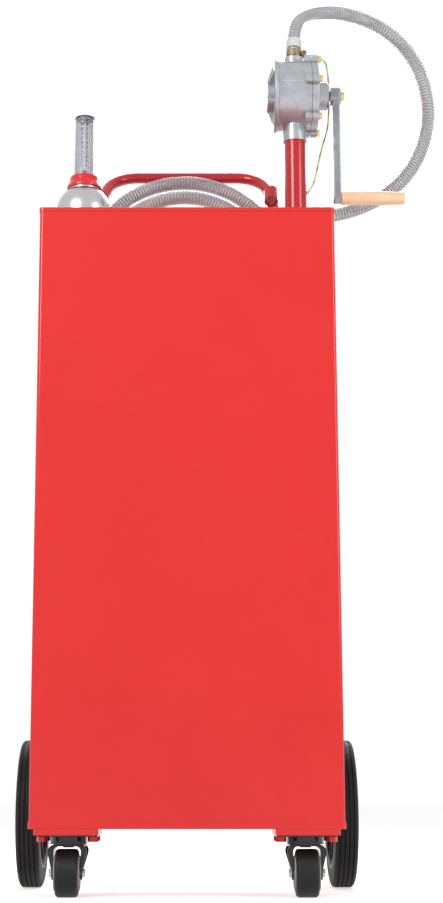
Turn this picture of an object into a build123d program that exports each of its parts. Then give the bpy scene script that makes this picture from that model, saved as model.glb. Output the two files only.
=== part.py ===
"""Wheeled fuel caddy: a tall steel tank on two fixed wheels and two swivel casters.

A hand-cranked rotary vane pump stands on a riser over the tank, and a float gauge sits on the filler.
The delivery hose leaves the pump's top, loops round the crank's side and is coiled behind the tank.
Lengths are millimetres. +X is the crank's side, +Y points away from the tank's broad front, +Z is up.
"""
import os
from math import acos, ceil, cos, degrees, pi, radians, sin, sqrt, tan

from build123d import *

# Clearances shared by all pieces
fit = 0.06                  # radial play of a pin or shaft that turns in its hole
slip = 0.02                 # radial play of a pin that is fixed in its hole
gap = 0.3                   # least space between faces that move past each other
overrun = 4.0               # how far a cutting tool runs past the face that it opens

# Tank
tank_width = 500.0
tank_depth = 260.0
tank_height = 1026.0
tank_base = 106.0           # underside of the tank above the ground
sheet = 2.0                 # tank wall
seam = 1.2                  # turned edge of the lid and of the base, outside the wall
tank_corner = 7.0
lid_lip = 7.0
base_lip = 11.0
edge_round = 1.5            # rolled outer edge of the lid and the base

# Filler dome and the neck that the gauge screws on
filler_inset = 67.5         # filler's middle inside the tank's side, away from the crank
filler_x = tank_width / 2 - filler_inset
dome_radius = 48.5
dome_centre = 36.5          # height of the dome's centre above the lid
dome_wall = 2.5
dome_flange_radius = 62.0
dome_flange = 3.0
neck_radius = 27.0
neck_ring_top = 80.0        # above the lid
thread_radius = 24.5
neck_top = 93.5             # above the lid
neck_bore = 22.0
filler_screws = 6
filler_screw_circle = 54.0
filler_screw = 2.5          # shank radius
filler_screw_head = 4.6
filler_screw_head_height = 3.0

# Float gauge
collar_skirt_radius = 30.5
collar_radius = 25.0
collar_skirt = 3.0
collar_flare = 8.0
collar_lip = 3.0
sight_radius = 18.0
sight_top_radius = 16.8
sight_height = 116.5
sight_wall = 2.0
sight_flange = 3.0
sight_flange_radius = 24.0
sight_cap = 2.0
sight_cap_plug = 2.5
sight_cap_overhang = 0.8
stem_disc = 2.0
stem_width = 16.0
stem_thickness = 3.0
stem_offset = 8.0           # strap's near face behind the rod
stem_foot = 24.0            # height of the plate that carries the pivot
vent_radius = 3.0
rod_radius = 2.5
rod_guide = 8.0
rod_guide_half = 6.0
rod_guide_height = 80.0     # above the pivot
bead_radius = 4.5
bead_height = 8.0
bead_rise = 5.0             # bead's underside above the collar, when the tank is empty
guide_radius = 1.5          # fixed rod that hangs from the cap through the bead
crosshead_wall = 2.5
crosshead_play = 5.6        # slot's room above and below the pin, which moves on an arc
pivot_radius = 3.0
pivot_hub = 7.0
drive_radius = 42.0         # pivot to the pin that lifts the rod
drive_pin = 2.5
arm_offset = 35.0           # float arm's middle in front of the rod
arm_wire = 6.0
arm_length = 425.0
arm_droop = 75.0            # angle of the arm below level, in degrees, when the tank is empty
float_clear = 67.0          # float's lowest point above the floor sheet when the tank is empty
float_radius = 18.0
float_length = 60.0
float_round = 5.0

# Riser, suction pipe and strainer
riser_inset = 57.0          # riser's middle inside the tank's side, where the crank is
riser_x = tank_width / 2 - riser_inset
riser_radius = 19.0
riser_wall = 2.5
riser_height = 182.0
riser_foot_radius = 30.0
riser_foot = 5.0
suction_radius = 13.5
suction_wall = 2.0
suction_top = 198.0         # above the lid
strainer_radius = 20.0
strainer_height = 38.0
strainer_wall = 1.5
strainer_floor_gap = 6.0
strainer_slots = 10
strainer_slot_width = 3.0
strainer_slot_height = 22.0

# Hand pump, lying along X
pump_height = 256.5         # shaft above the lid
barrel_radius = 61.3
barrel_back = 30.0          # barrel's back face from the riser's middle
barrel_front = 28.0
bore_radius = 50.0
back_plate = 8.0
back_plate_radius = 64.4
back_hub_radius = 29.8
back_hub = 12.0
back_ribs = 6
back_rib_width = 5.0
back_rib_radius = 58.0
back_plate_round = 3.0
cast_round = 2.0
inlet_boss_radius = 21.0
inlet_boss_drop = 88.5      # boss's mouth below the shaft
outlet_boss_radius = 17.0
outlet_boss_rise = 72.0     # boss's top above the shaft
outlet_port = 7.0
gasket = 0.8
cover_thickness = 12.0
cover_radius = 61.3
cover_bolts = 6
cover_bolt_phase = 25.0     # degrees from upright towards the front
cover_bolt_circle = 64.7
lug_radius = 8.0
lug_length = 12.0
cover_bolt = 3.0
bolt_head_across = 10.0
bolt_head = 4.0
bolt_washer_radius = 6.6
bolt_washer = 1.2
cover_step_radius = 36.0
cover_step = 3.0
gland_radius = 24.5
gland_length = 20.0
gland_chamfer = 3.0
seal_radius = 10.0
seal_length = 2.4
shaft_radius = 7.0
shaft_pocket = 8.0          # shaft's end inside the back hub
rotor_radius = 42.5
vane_count = 4
vane_width = 6.0
vane_depth = 20.0

# Crank and grip
crank_gap = 0.8             # between the seal and the crank's head
crank_head_radius = 15.9
crank_head = 19.0
crank_head_round = 4.0
crank_radius = 193.0
crank_arm = 13.0
crank_arm_top = 12.0        # half width of the arm at the head
crank_arm_end = 10.0        # half width of the arm at the spindle
crank_bolt_across = 13.0
crank_bolt_head = 6.0
crank_bolt_washer = 1.2
grip_gap = 0.5
grip_length = 112.0
grip_inner_radius = 11.8
grip_middle_radius = 12.3
grip_outer_radius = 10.8
grip_round = 2.0
spindle_radius = 4.0
spindle_head_radius = 6.5
spindle_head = 4.0
spindle_recess = 7.0
spindle_recess_radius = 7.5

# Outlet barb, clamp and hose
hose_radius = 12.5
hose_bore = 9.5
barb_height = 19.7
barb_wall = 2.3
barb_root = 10.0            # length of the barb inside the boss
barb_play = 0.1
clamp_band = 1.0
clamp_width = 12.0
clamp_lift = 3.0            # band's lower edge above the hose's end
clamp_housing = 10.0
clamp_housing_length = 16.0
clamp_screw_radius = 4.0
clamp_screw_head = 3.5
sleeve_length = 20.0
sleeve_wall = 0.7
sleeve_lift = 18.0
sleeve_play = 0.25

# Coil behind the tank
coil_inner = 135.0          # radius where the hose comes in, at the top
coil_pitch = 27.5           # growth of the radius in one turn
coil_turns = 2
coil_drop = 33.5            # coil's centre below the lid
coil_back = 75.0            # hose's plane behind the tank where it comes in
coil_front = 40.0           # plane of the turns nearest the tank
hook_angle = 35.0           # degrees from the top, either way
hook_radius = 4.0
hook_reach = 100.0
hook_tip = 16.0
hook_bend = 8.0
strap_width = 30.0
strap = 3.0
strap_length = 180.0
strap_bolt_inset = 20.0
strap_bolt_spacing = 60.0
strap_bolt_across = 10.0
strap_bolt_head = 4.0

# Nozzle at the hose's far end
ferrule_wall = 1.6
nozzle_grip_radius = 13.0
nozzle_grip_length = 104.0
nozzle_valve_radius = 19.0
nozzle_valve_length = 52.0
nozzle_taper = 14.0
spout_radius = 9.5
spout_wall = 1.2
spout_straight = 45.0
spout_bend_radius = 60.0
spout_bend = 30.0           # degrees
spout_end = 85.0
lever_length = 108.0
lever_thickness = 5.0
lever_width = 14.0
lever_pivot_offset = 26.0
lever_pivot_radius = 3.0
lever_ear = 4.0
lever_angle = 9.0           # degrees that the lever stands off the grip

# Handle and nozzle holder
handle_radius = 10.0
handle_wall = 1.5
handle_inset = 90.0         # legs' middles inside the tank's sides
handle_half = tank_width / 2 - handle_inset
handle_rise = 176.5         # bar's middle above the lid
handle_bend = 58.0          # bends beside the bar
handle_lean = 56.0          # bar's middle behind the legs', so that the coil hangs in front of it
handle_knee = 113.0         # legs upright up to here above the lid
knee_bend = 45.0
handle_narrow = 22.0        # bar's corners inside the legs' middles
handle_leg = 130.0          # legs below the lid
holder_radius = 12.6
holder_bore = 11.0
holder_length = 30.0
holder_tilt = 30.0          # degrees, its foot towards the front
holder_rise = 111.0         # holder's middle above the lid
holder_inset = 4.7          # holder's middle inside the leg's, where the knee has begun
holder_seat = 4.65          # how far the knee has leant back where the holder is welded on

# Casters
caster_inset = 60.0         # swivel inside the tank's side
caster_x = tank_width / 2 - caster_inset
caster_back = 73.0          # swivel behind the tank's front
caster_trail = 28.0
bracket_width = 102.0
bracket_depth = 112.0
bracket_inset = 1.0         # bracket's front edge behind the tank's front
bracket_height = 9.5
bracket_sheet = 3.0
bracket_round = 4.0
plate_width = 96.0
plate_depth = 84.0
plate_sheet = 3.0
plate_bolt_x = 81.0
plate_bolt_y = 62.0
caster_bolt = 4.0
caster_bolt_across = 15.0
caster_bolt_head = 8.0
race_radius = 29.0
race_cup = 8.5
ring_radius = 30.0
ring_height = 3.6
ring_width = 6.0
kingpin_radius = 6.0
kingpin_head = 9.0
kingpin_head_height = 2.0
fork_sheet = 3.0
fork_shoulder = 31.0        # half width under the race
fork_leg = 24.5             # half width at the axle
fork_shoulder_drop = 14.0
fork_taper_drop = 40.0
fork_round = 11.0
fork_boss = 11.0
caster_radius = 37.5
caster_half = 18.5
caster_round = 6.0
caster_rim_radius = 27.0
caster_hub_half = 20.5
caster_hub_radius = 9.0
caster_axle = 4.0
caster_nut_across = 13.0
caster_nut = 4.5

# Fixed wheels and their axle
axle_set_back = 85.0        # axle behind the tank's back
axle_back = tank_depth + axle_set_back
wheel_radius = 127.0
wheel_width = 39.5
wheel_gap = 2.5             # between the tank's side and the tyre
tread_round = 8.0
tread_grooves = 4
tread_groove = 2.4
tread_groove_depth = 2.5
tyre_section = 32.0         # radial height of the rubber
rim_thickness = 5.0
web_thickness = 6.0
web_ribs = 6
web_rib_width = 5.0
hub_radius = 18.0
axle_radius = 8.0
cap_radius = 10.0
cap_length = 11.5
cap_round = 4.0
axle_bracket_inset = 45.0   # bracket's middle inside the tank's side
axle_bracket_x = tank_width / 2 - axle_bracket_inset
axle_bracket_sheet = 5.0
axle_bracket_boss = 16.0
axle_bracket_top = 150.0    # height of the foot plate
axle_foot_width = 50.0

# Earth wire from the pump's cover to the riser
wire_radius = 1.3
wire_foot = 73.0            # wire's end on the riser, above the lid
wire_stand = 1.4            # slanting ends, off the faces that they meet

# Frame: the origin is on the ground under the middle of the whole caddy, cords left out
crank_reach = (riser_x + barrel_front + gasket + cover_thickness + gland_length + seal_length
               + crank_gap + (crank_head + crank_arm) / 2 + grip_gap + grip_length)
cap_reach = tank_width / 2 + wheel_gap + wheel_width + cap_length
mid_x = (cap_reach - crank_reach) / 2
front_y = -(axle_back + wheel_radius) / 2
tank_top = tank_base + tank_height
tank_mid = tank_depth / 2


def level(z, x=0.0, y=0.0):
    """Level plane at height z; x and y run from the middle of the tank's front."""
    return Plane(origin=(mid_x + x, front_y + y, z))


def under(z, x=0.0, y=0.0):
    """Level plane that faces down."""
    return Plane(origin=(mid_x + x, front_y + y, z), x_dir=(1, 0, 0), z_dir=(0, 0, -1))


def across(x, y, z):
    """Upright plane that faces +X, with its own x to the back and its own y up."""
    return Plane(origin=(mid_x + x, front_y + y, z), x_dir=(0, 1, 0), z_dir=(1, 0, 0))


def facing(y, x=0.0, z=0.0):
    """Upright plane that faces the front, with its own x along X and its own y up."""
    return Plane(origin=(mid_x + x, front_y + y, z), x_dir=(1, 0, 0), z_dir=(0, -1, 0))


def upright_axis(x, y):
    return Axis((mid_x + x, front_y + y, 0), (0, 0, 1))


def place(x, y, z):
    """A point given from the middle of the tank's front, as a point of the frame."""
    return Vector(mid_x + x, front_y + y, z)


def save(builder, name):
    """Label a finished piece and write its STEP file."""
    builder.part.label = name
    export_step(builder.part, f"parts/{name}.step")
    print(f"{name:24s} {len(builder.part.solids())} solids {builder.part.volume / 1000:9.1f} cm3")


os.makedirs("parts", exist_ok=True)
SIDES = (("left", -1), ("right", 1))

# Tank: wrapped wall, lid and base
with BuildPart() as tank_wrap:
    with BuildSketch(level(tank_base + sheet, 0, tank_mid)):
        RectangleRounded(tank_width - 2 * seam, tank_depth - 2 * seam, tank_corner - seam)
        RectangleRounded(tank_width - 2 * (seam + sheet), tank_depth - 2 * (seam + sheet),
                         tank_corner - seam - sheet, mode=Mode.SUBTRACT)
    extrude(amount=tank_height - 2 * sheet)
save(tank_wrap, "tank_wrap")

with BuildPart() as tank_lid:
    with BuildSketch(level(tank_top - sheet, 0, tank_mid)):
        RectangleRounded(tank_width, tank_depth, tank_corner)
    extrude(amount=sheet)
    with BuildSketch(level(tank_top - sheet, 0, tank_mid)):
        RectangleRounded(tank_width, tank_depth, tank_corner)
        RectangleRounded(tank_width - 2 * seam, tank_depth - 2 * seam, tank_corner - seam,
                         mode=Mode.SUBTRACT)
    extrude(amount=sheet - lid_lip)
    fillet(tank_lid.faces().sort_by(Axis.Z)[-1].edges(), edge_round)
    with BuildSketch(level(tank_top, 0, tank_mid)):
        with Locations((-filler_x, 0)):
            Circle(dome_radius - dome_wall)
            with PolarLocations(filler_screw_circle, filler_screws):
                Circle(filler_screw + slip)
        with Locations((riser_x, 0)):
            Circle(suction_radius + gap)
    extrude(amount=-sheet - overrun, mode=Mode.SUBTRACT)
save(tank_lid, "tank_lid")

with BuildPart() as tank_floor:
    with BuildSketch(level(tank_base, 0, tank_mid)):
        RectangleRounded(tank_width, tank_depth, tank_corner)
    extrude(amount=sheet)
    fillet(tank_floor.faces().sort_by(Axis.Z)[0].edges(), edge_round)
    for side_name, side in SIDES:
        with BuildSketch(level(tank_base, side * caster_x, bracket_depth / 2 + bracket_inset)):
            RectangleRounded(bracket_width, bracket_depth, bracket_round)
        extrude(amount=-bracket_height)
        with BuildSketch(level(tank_base, side * caster_x,
                               bracket_depth / 2 + bracket_inset + bracket_sheet)):
            Rectangle(bracket_width - 2 * bracket_sheet, bracket_depth)
        extrude(amount=bracket_sheet - bracket_height, mode=Mode.SUBTRACT)
        with BuildSketch(level(tank_base - bracket_height, side * caster_x, caster_back)):
            with GridLocations(plate_bolt_x, plate_bolt_y, 2, 2):
                Circle(caster_bolt + slip)
        extrude(amount=bracket_sheet, mode=Mode.SUBTRACT)
save(tank_floor, "tank_floor")

with BuildPart() as base_rim:
    with BuildSketch(level(tank_base + sheet, 0, tank_mid)):
        RectangleRounded(tank_width, tank_depth, tank_corner)
        RectangleRounded(tank_width - 2 * seam, tank_depth - 2 * seam, tank_corner - seam,
                         mode=Mode.SUBTRACT)
    extrude(amount=base_lip - sheet)
save(base_rim, "base_rim")

# Filler dome, a spun shell with a screwed neck
filler_axis = upright_axis(-filler_x, tank_mid)
outer_sweep = degrees(acos(neck_radius / dome_radius))
inner_sweep = degrees(acos(neck_bore / (dome_radius - dome_wall)))
with BuildPart() as filler_dome:
    with BuildSketch(facing(tank_mid, -filler_x, tank_top)):
        with BuildLine():
            outer = CenterArc((0, dome_centre), dome_radius, 0, outer_sweep)
            inner = CenterArc((0, dome_centre), dome_radius - dome_wall, 0, inner_sweep)
            Polyline(outer @ 0, (dome_radius, dome_flange), (dome_flange_radius, dome_flange),
                     (dome_flange_radius, 0), (dome_radius - dome_wall, 0), inner @ 0)
            Polyline(outer @ 1, (neck_radius, neck_ring_top), (thread_radius, neck_ring_top),
                     (thread_radius, neck_top), (neck_bore, neck_top), inner @ 1)
        make_face()
    revolve(axis=filler_axis)
    with BuildSketch(level(tank_top, -filler_x, tank_mid)):
        with PolarLocations(filler_screw_circle, filler_screws):
            Circle(filler_screw + slip)
    extrude(amount=dome_flange, mode=Mode.SUBTRACT)
save(filler_dome, "filler_dome")

with BuildPart() as filler_screw_set:
    with BuildSketch(level(tank_top + dome_flange, -filler_x, tank_mid)):
        with PolarLocations(filler_screw_circle, filler_screws):
            Circle(filler_screw_head)
    extrude(amount=filler_screw_head_height)
    fillet(filler_screw_set.faces().group_by(Axis.Z)[-1].edges(), filler_screw_head_height / 2)
    with BuildSketch(level(tank_top + dome_flange, -filler_x, tank_mid)):
        with PolarLocations(filler_screw_circle, filler_screws):
            Circle(filler_screw)
    extrude(amount=-dome_flange - sheet - overrun)
save(filler_screw_set, "filler_screws")

# Float gauge: collar nut, sight tube and cap
disc_base = tank_top + neck_top + gap
flange_base = disc_base + stem_disc
flange_top = flange_base + sight_flange
collar_base = tank_top + neck_ring_top + gap
collar_top = flange_top + gap + collar_lip
with BuildPart() as gauge_collar:
    with BuildSketch(facing(tank_mid, -filler_x)):
        with BuildLine():
            Polyline((thread_radius + gap, collar_base), (collar_skirt_radius, collar_base),
                     (collar_skirt_radius, collar_base + collar_skirt),
                     (collar_radius + seam, collar_base + collar_skirt + collar_flare),
                     (collar_radius, collar_top - edge_round),
                     (collar_radius - edge_round, collar_top),
                     (sight_radius + gap, collar_top), (sight_radius + gap, flange_top + gap),
                     (thread_radius + gap, flange_top + gap), close=True)
        make_face()
    revolve(axis=filler_axis)
save(gauge_collar, "gauge_collar")

sight_top = flange_base + sight_height
with BuildPart() as gauge_tube:
    with BuildSketch(facing(tank_mid, -filler_x)):
        with BuildLine():
            Polyline((sight_radius - sight_wall, flange_base), (sight_flange_radius, flange_base),
                     (sight_flange_radius, flange_top), (sight_radius, flange_top),
                     (sight_top_radius, sight_top), (sight_top_radius - sight_wall, sight_top),
                     close=True)
        make_face()
    revolve(axis=filler_axis)
save(gauge_tube, "gauge_tube")

with BuildPart() as gauge_cap:
    with BuildSketch(level(sight_top, -filler_x, tank_mid)):
        Circle(sight_top_radius + sight_cap_overhang)
    extrude(amount=sight_cap)
    fillet(gauge_cap.faces().sort_by(Axis.Z)[-1].edges(), sight_cap / 2)
    with BuildSketch(level(sight_top, -filler_x, tank_mid)):
        Circle(sight_top_radius - sight_wall - slip)
    extrude(amount=-sight_cap_plug)
save(gauge_cap, "gauge_cap")

# Gauge stem: clamped disc, strap, rod guide and pivot for the float arm
pivot_height = (tank_base + sheet + float_clear + (arm_length + float_length / 2) * sin(radians(arm_droop))
                + float_radius * cos(radians(arm_droop)))
pivot_x = -filler_x - drive_radius
arm_y = tank_mid - arm_offset
with BuildPart() as gauge_stem:
    with BuildSketch(level(disc_base, -filler_x, tank_mid)):
        Circle(sight_flange_radius)
        Circle(rod_radius + fit, mode=Mode.SUBTRACT)
        with PolarLocations((neck_bore + rod_radius) / 2, 3, start_angle=30):
            Circle(vent_radius, mode=Mode.SUBTRACT)
    extrude(amount=stem_disc)
    with BuildSketch(facing(tank_mid + stem_offset, -filler_x, pivot_height)):
        with Locations((0, (disc_base - pivot_height - stem_foot / 2) / 2)):
            Rectangle(stem_width, disc_base - pivot_height + stem_foot / 2)
        with Locations((-drive_radius / 2, 0)):
            SlotCenterToCenter(drive_radius, stem_foot)
    extrude(amount=-stem_thickness)
    with BuildSketch(level(pivot_height + rod_guide_height, -filler_x, tank_mid)):
        with Locations((0, (stem_offset - rod_guide_half) / 2)):
            Rectangle(2 * rod_guide_half, stem_offset + rod_guide_half)
        Circle(rod_radius + fit, mode=Mode.SUBTRACT)
    extrude(amount=rod_guide)
    with BuildSketch(facing(tank_mid + stem_offset, pivot_x, pivot_height)):
        Circle(pivot_radius)
    extrude(amount=stem_offset + arm_offset + arm_wire)
save(gauge_stem, "gauge_stem")

# Indicator rod with its bead and its crosshead
arm_low = drive_radius * sin(radians(arm_droop))
pin_travel = drive_radius * (1 - cos(radians(arm_droop)))
slot_half = drive_pin + gap + crosshead_play
cross_height = pivot_height - arm_low
bead_base = collar_top + bead_rise
with BuildPart() as gauge_rod:
    with BuildSketch(level(cross_height + slot_half, -filler_x, tank_mid)):
        Circle(rod_radius)
    extrude(amount=bead_base + bead_height / 2 - cross_height - slot_half)
    with BuildSketch(level(bead_base, -filler_x, tank_mid)):
        Circle(bead_radius)
    extrude(amount=bead_height)
    fillet(gauge_rod.edges().filter_by(GeomType.CIRCLE).group_by(Axis.Z)[-1], bead_radius / 4)
    with BuildSketch(level(bead_base + bead_height, -filler_x, tank_mid)):
        Circle(guide_radius + fit)
    extrude(amount=-bead_height - 2 * arm_low - overrun, mode=Mode.SUBTRACT)
    with BuildSketch(facing(tank_mid - rod_radius, -filler_x, cross_height)):
        with Locations((-pin_travel / 2, 0)):
            RectangleRounded(pin_travel + 2 * (drive_pin + gap + crosshead_wall),
                             2 * (slot_half + crosshead_wall), crosshead_wall)
            Rectangle(pin_travel + 2 * (drive_pin + gap), 2 * slot_half, mode=Mode.SUBTRACT)
    extrude(amount=-2 * rod_radius)
save(gauge_rod, "gauge_rod")

with BuildPart() as gauge_guide:
    with BuildSketch(level(bead_base, -filler_x, tank_mid)):
        Circle(guide_radius)
    extrude(amount=sight_top - sight_cap_plug - bead_base)
save(gauge_guide, "gauge_guide")

# Float arm at the low end of its swing
droop = radians(arm_droop)
arm_plane = Plane(origin=place(pivot_x, arm_y, pivot_height), x_dir=(cos(droop), 0, -sin(droop)),
                  z_dir=(0, -1, 0))
arm_end = place(pivot_x + arm_length * cos(droop), arm_y, pivot_height - arm_length * sin(droop))
with BuildPart() as float_arm:
    with BuildSketch(arm_plane.offset(-arm_wire / 2)):
        Circle(pivot_hub)
        with Locations(((arm_length + float_length / 2) / 2, 0)):
            Rectangle(arm_length + float_length / 2, arm_wire)
        Circle(pivot_radius + fit, mode=Mode.SUBTRACT)
    extrude(amount=arm_wire)
    with BuildSketch(arm_plane):
        with Locations((drive_radius, 0)):
            Circle(drive_pin)
    extrude(amount=-arm_offset - rod_radius)
    with BuildSketch(Plane(origin=arm_end, z_dir=(cos(droop), 0, -sin(droop)))):
        Circle(float_radius)
    extrude(amount=float_length / 2, both=True)
    fillet(float_arm.edges().filter_by(GeomType.CIRCLE)
           .filter_by(lambda edge: abs(edge.radius - float_radius) < slip), float_round)
save(float_arm, "float_arm")

# Riser, suction pipe and strainer
shaft_height = tank_top + pump_height
with BuildPart() as riser_pipe:
    with BuildSketch(level(tank_top, riser_x, tank_mid)):
        Circle(riser_radius)
        Circle(riser_radius - riser_wall, mode=Mode.SUBTRACT)
    extrude(amount=riser_height)
    with BuildSketch(level(tank_top, riser_x, tank_mid)):
        Circle(riser_foot_radius)
        Circle(riser_radius - riser_wall / 2, mode=Mode.SUBTRACT)
    extrude(amount=riser_foot)
    chamfer(riser_pipe.edges().filter_by(GeomType.CIRCLE).group_by(Axis.Z)[1]
            .sort_by(SortBy.RADIUS)[-1], riser_foot / 2)
save(riser_pipe, "riser_pipe")

strainer_base = tank_base + sheet + strainer_floor_gap
strainer_top = strainer_base + strainer_height
with BuildPart() as suction_pipe:
    with BuildSketch(level(strainer_top, riser_x, tank_mid)):
        Circle(suction_radius)
        Circle(suction_radius - suction_wall, mode=Mode.SUBTRACT)
    extrude(amount=tank_top + suction_top - strainer_top)
save(suction_pipe, "suction_pipe")

with BuildPart() as suction_strainer:
    with BuildSketch(level(strainer_base, riser_x, tank_mid)):
        Circle(strainer_radius)
    extrude(amount=strainer_height)
    with BuildSketch(level(strainer_base + strainer_wall, riser_x, tank_mid)):
        Circle(strainer_radius - strainer_wall)
    extrude(amount=strainer_height - 2 * strainer_wall, mode=Mode.SUBTRACT)
    with BuildSketch(level(strainer_top, riser_x, tank_mid)):
        Circle(suction_radius - suction_wall)
    extrude(amount=-overrun, mode=Mode.SUBTRACT)
    with BuildSketch(level(strainer_base + (strainer_height - strainer_slot_height) / 2,
                           riser_x, tank_mid)):
        with PolarLocations(strainer_radius, strainer_slots):
            Rectangle(2 * overrun, strainer_slot_width)
    extrude(amount=strainer_slot_height, mode=Mode.SUBTRACT)
save(suction_strainer, "suction_strainer")

# Pump: the one casting that holds the barrel, its ribbed back and both ports
bore_offset = bore_radius - rotor_radius - gap


def pump_plane(x):
    """Plane across the shaft, x from the riser's middle towards the crank."""
    return across(riser_x + x, tank_mid, shaft_height)


with BuildPart() as pump_body:
    with BuildSketch(pump_plane(-barrel_back)):
        Circle(barrel_radius)
    extrude(amount=barrel_back + barrel_front)
    with BuildSketch(pump_plane(-barrel_back)):
        Circle(back_plate_radius)
    extrude(amount=-back_plate)
    fillet(pump_body.edges().filter_by(GeomType.CIRCLE)
           .filter_by(lambda edge: abs(edge.radius - back_plate_radius) < slip), back_plate_round)
    with BuildSketch(pump_plane(-barrel_back - back_plate)):
        Circle(back_hub_radius)
    extrude(amount=-back_hub)
    fillet(pump_body.faces().sort_by(Axis.X)[0].edges(), cast_round)
    for rib in range(back_ribs):
        turn = radians(360 / back_ribs * (rib + 0.5))
        out = Vector(0, cos(turn), sin(turn))
        rib_root = place(riser_x - barrel_back - back_plate, tank_mid, shaft_height)
        with BuildSketch(Plane(origin=rib_root, x_dir=out, z_dir=out.cross(Vector(-1, 0, 0)))):
            with BuildLine():
                Polyline((back_hub_radius - overrun, 0), (back_rib_radius, 0),
                         (back_hub_radius, back_hub - cast_round),
                         (back_hub_radius - overrun, back_hub - cast_round), close=True)
            make_face()
        extrude(amount=back_rib_width / 2, both=True)
    with BuildSketch(pump_plane(barrel_front)):
        with PolarLocations(cover_bolt_circle, cover_bolts, start_angle=90 + cover_bolt_phase):
            Circle(lug_radius)
    extrude(amount=-lug_length)
    with BuildSketch(level(shaft_height - inlet_boss_drop, riser_x, tank_mid)):
        Circle(inlet_boss_radius)
    extrude(amount=inlet_boss_drop - bore_radius)
    with BuildSketch(level(shaft_height + bore_radius, riser_x, tank_mid)):
        Circle(outlet_boss_radius)
    extrude(amount=outlet_boss_rise - bore_radius)
    with BuildSketch(pump_plane(-barrel_back)):
        with Locations((bore_offset, 0)):
            Circle(bore_radius)
    extrude(amount=barrel_back + barrel_front, mode=Mode.SUBTRACT)
    with BuildSketch(pump_plane(-barrel_back)):
        Circle(shaft_radius + fit)
    extrude(amount=-back_plate - shaft_pocket - gap, mode=Mode.SUBTRACT)
    with BuildSketch(level(shaft_height - inlet_boss_drop, riser_x, tank_mid)):
        Circle(riser_radius + slip)
    extrude(amount=riser_height - (pump_height - inlet_boss_drop), mode=Mode.SUBTRACT)
    with BuildSketch(level(shaft_height - inlet_boss_drop, riser_x, tank_mid)):
        Circle(suction_radius + slip)
    extrude(amount=inlet_boss_drop - bore_radius + 2 * overrun, mode=Mode.SUBTRACT)
    with BuildSketch(level(shaft_height + outlet_boss_rise, riser_x, tank_mid)):
        Circle(outlet_port)
    extrude(amount=bore_radius - outlet_boss_rise - 2 * overrun, mode=Mode.SUBTRACT)
    with BuildSketch(level(shaft_height + outlet_boss_rise, riser_x, tank_mid)):
        Circle(hose_bore - barb_play + slip)
    extrude(amount=-barb_root, mode=Mode.SUBTRACT)
    with BuildSketch(pump_plane(barrel_front)):
        with PolarLocations(cover_bolt_circle, cover_bolts, start_angle=90 + cover_bolt_phase):
            Circle(cover_bolt + slip)
    extrude(amount=-lug_length, mode=Mode.SUBTRACT)
save(pump_body, "pump_body")

cover_base = barrel_front + gasket
cover_face = cover_base + cover_thickness
gland_face = cover_face + gland_length
with BuildPart() as pump_seal_set:
    with BuildSketch(pump_plane(barrel_front)):
        Circle(barrel_radius)
        with Locations((bore_offset, 0)):
            Circle(bore_radius, mode=Mode.SUBTRACT)
        with PolarLocations(cover_bolt_circle, cover_bolts, start_angle=90 + cover_bolt_phase):
            Circle(cover_bolt + gap, mode=Mode.SUBTRACT)
    extrude(amount=gasket)
    with BuildSketch(pump_plane(gland_face)):
        Circle(seal_radius)
        Circle(shaft_radius + fit, mode=Mode.SUBTRACT)
    extrude(amount=seal_length)
save(pump_seal_set, "pump_seals")

with BuildPart() as pump_cover:
    with BuildSketch(pump_plane(cover_base)):
        Circle(cover_radius)
        with PolarLocations(cover_bolt_circle, cover_bolts, start_angle=90 + cover_bolt_phase):
            Circle(lug_radius)
    extrude(amount=cover_thickness)
    fillet(pump_cover.faces().sort_by(Axis.X)[-1].edges(), cast_round)
    with BuildSketch(pump_plane(cover_face)):
        Circle(cover_step_radius)
    extrude(amount=cover_step)
    with BuildSketch(pump_plane(cover_face)):
        Circle(gland_radius)
    extrude(amount=gland_length)
    chamfer(pump_cover.faces().sort_by(Axis.X)[-1].edges(), gland_chamfer)
    with BuildSketch(pump_plane(cover_base)):
        Circle(shaft_radius + fit)
    extrude(amount=cover_thickness + gland_length, mode=Mode.SUBTRACT)
    with BuildSketch(pump_plane(cover_base)):
        with PolarLocations(cover_bolt_circle, cover_bolts, start_angle=90 + cover_bolt_phase):
            Circle(cover_bolt + slip)
    extrude(amount=cover_thickness, mode=Mode.SUBTRACT)
save(pump_cover, "pump_cover")

with BuildPart() as pump_bolt_set:
    with BuildSketch(pump_plane(cover_face)):
        with PolarLocations(cover_bolt_circle, cover_bolts, start_angle=90 + cover_bolt_phase):
            Circle(bolt_washer_radius)
    extrude(amount=bolt_washer)
    with BuildSketch(pump_plane(cover_face + bolt_washer)):
        with PolarLocations(cover_bolt_circle, cover_bolts, start_angle=90 + cover_bolt_phase):
            RegularPolygon(bolt_head_across / 2, 6, major_radius=False)
    extrude(amount=bolt_head)
    with BuildSketch(pump_plane(cover_face)):
        with PolarLocations(cover_bolt_circle, cover_bolts, start_angle=90 + cover_bolt_phase):
            Circle(cover_bolt)
    extrude(amount=-cover_thickness - gasket - lug_length)
save(pump_bolt_set, "pump_bolts")

# Rotor, vanes and shaft
head_base = gland_face + seal_length + crank_gap
head_face = head_base + crank_head
with BuildPart() as pump_shaft:
    with BuildSketch(pump_plane(-barrel_back - back_plate - shaft_pocket)):
        Circle(shaft_radius)
    extrude(amount=barrel_back + back_plate + shaft_pocket + head_face)
save(pump_shaft, "pump_shaft")

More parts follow.
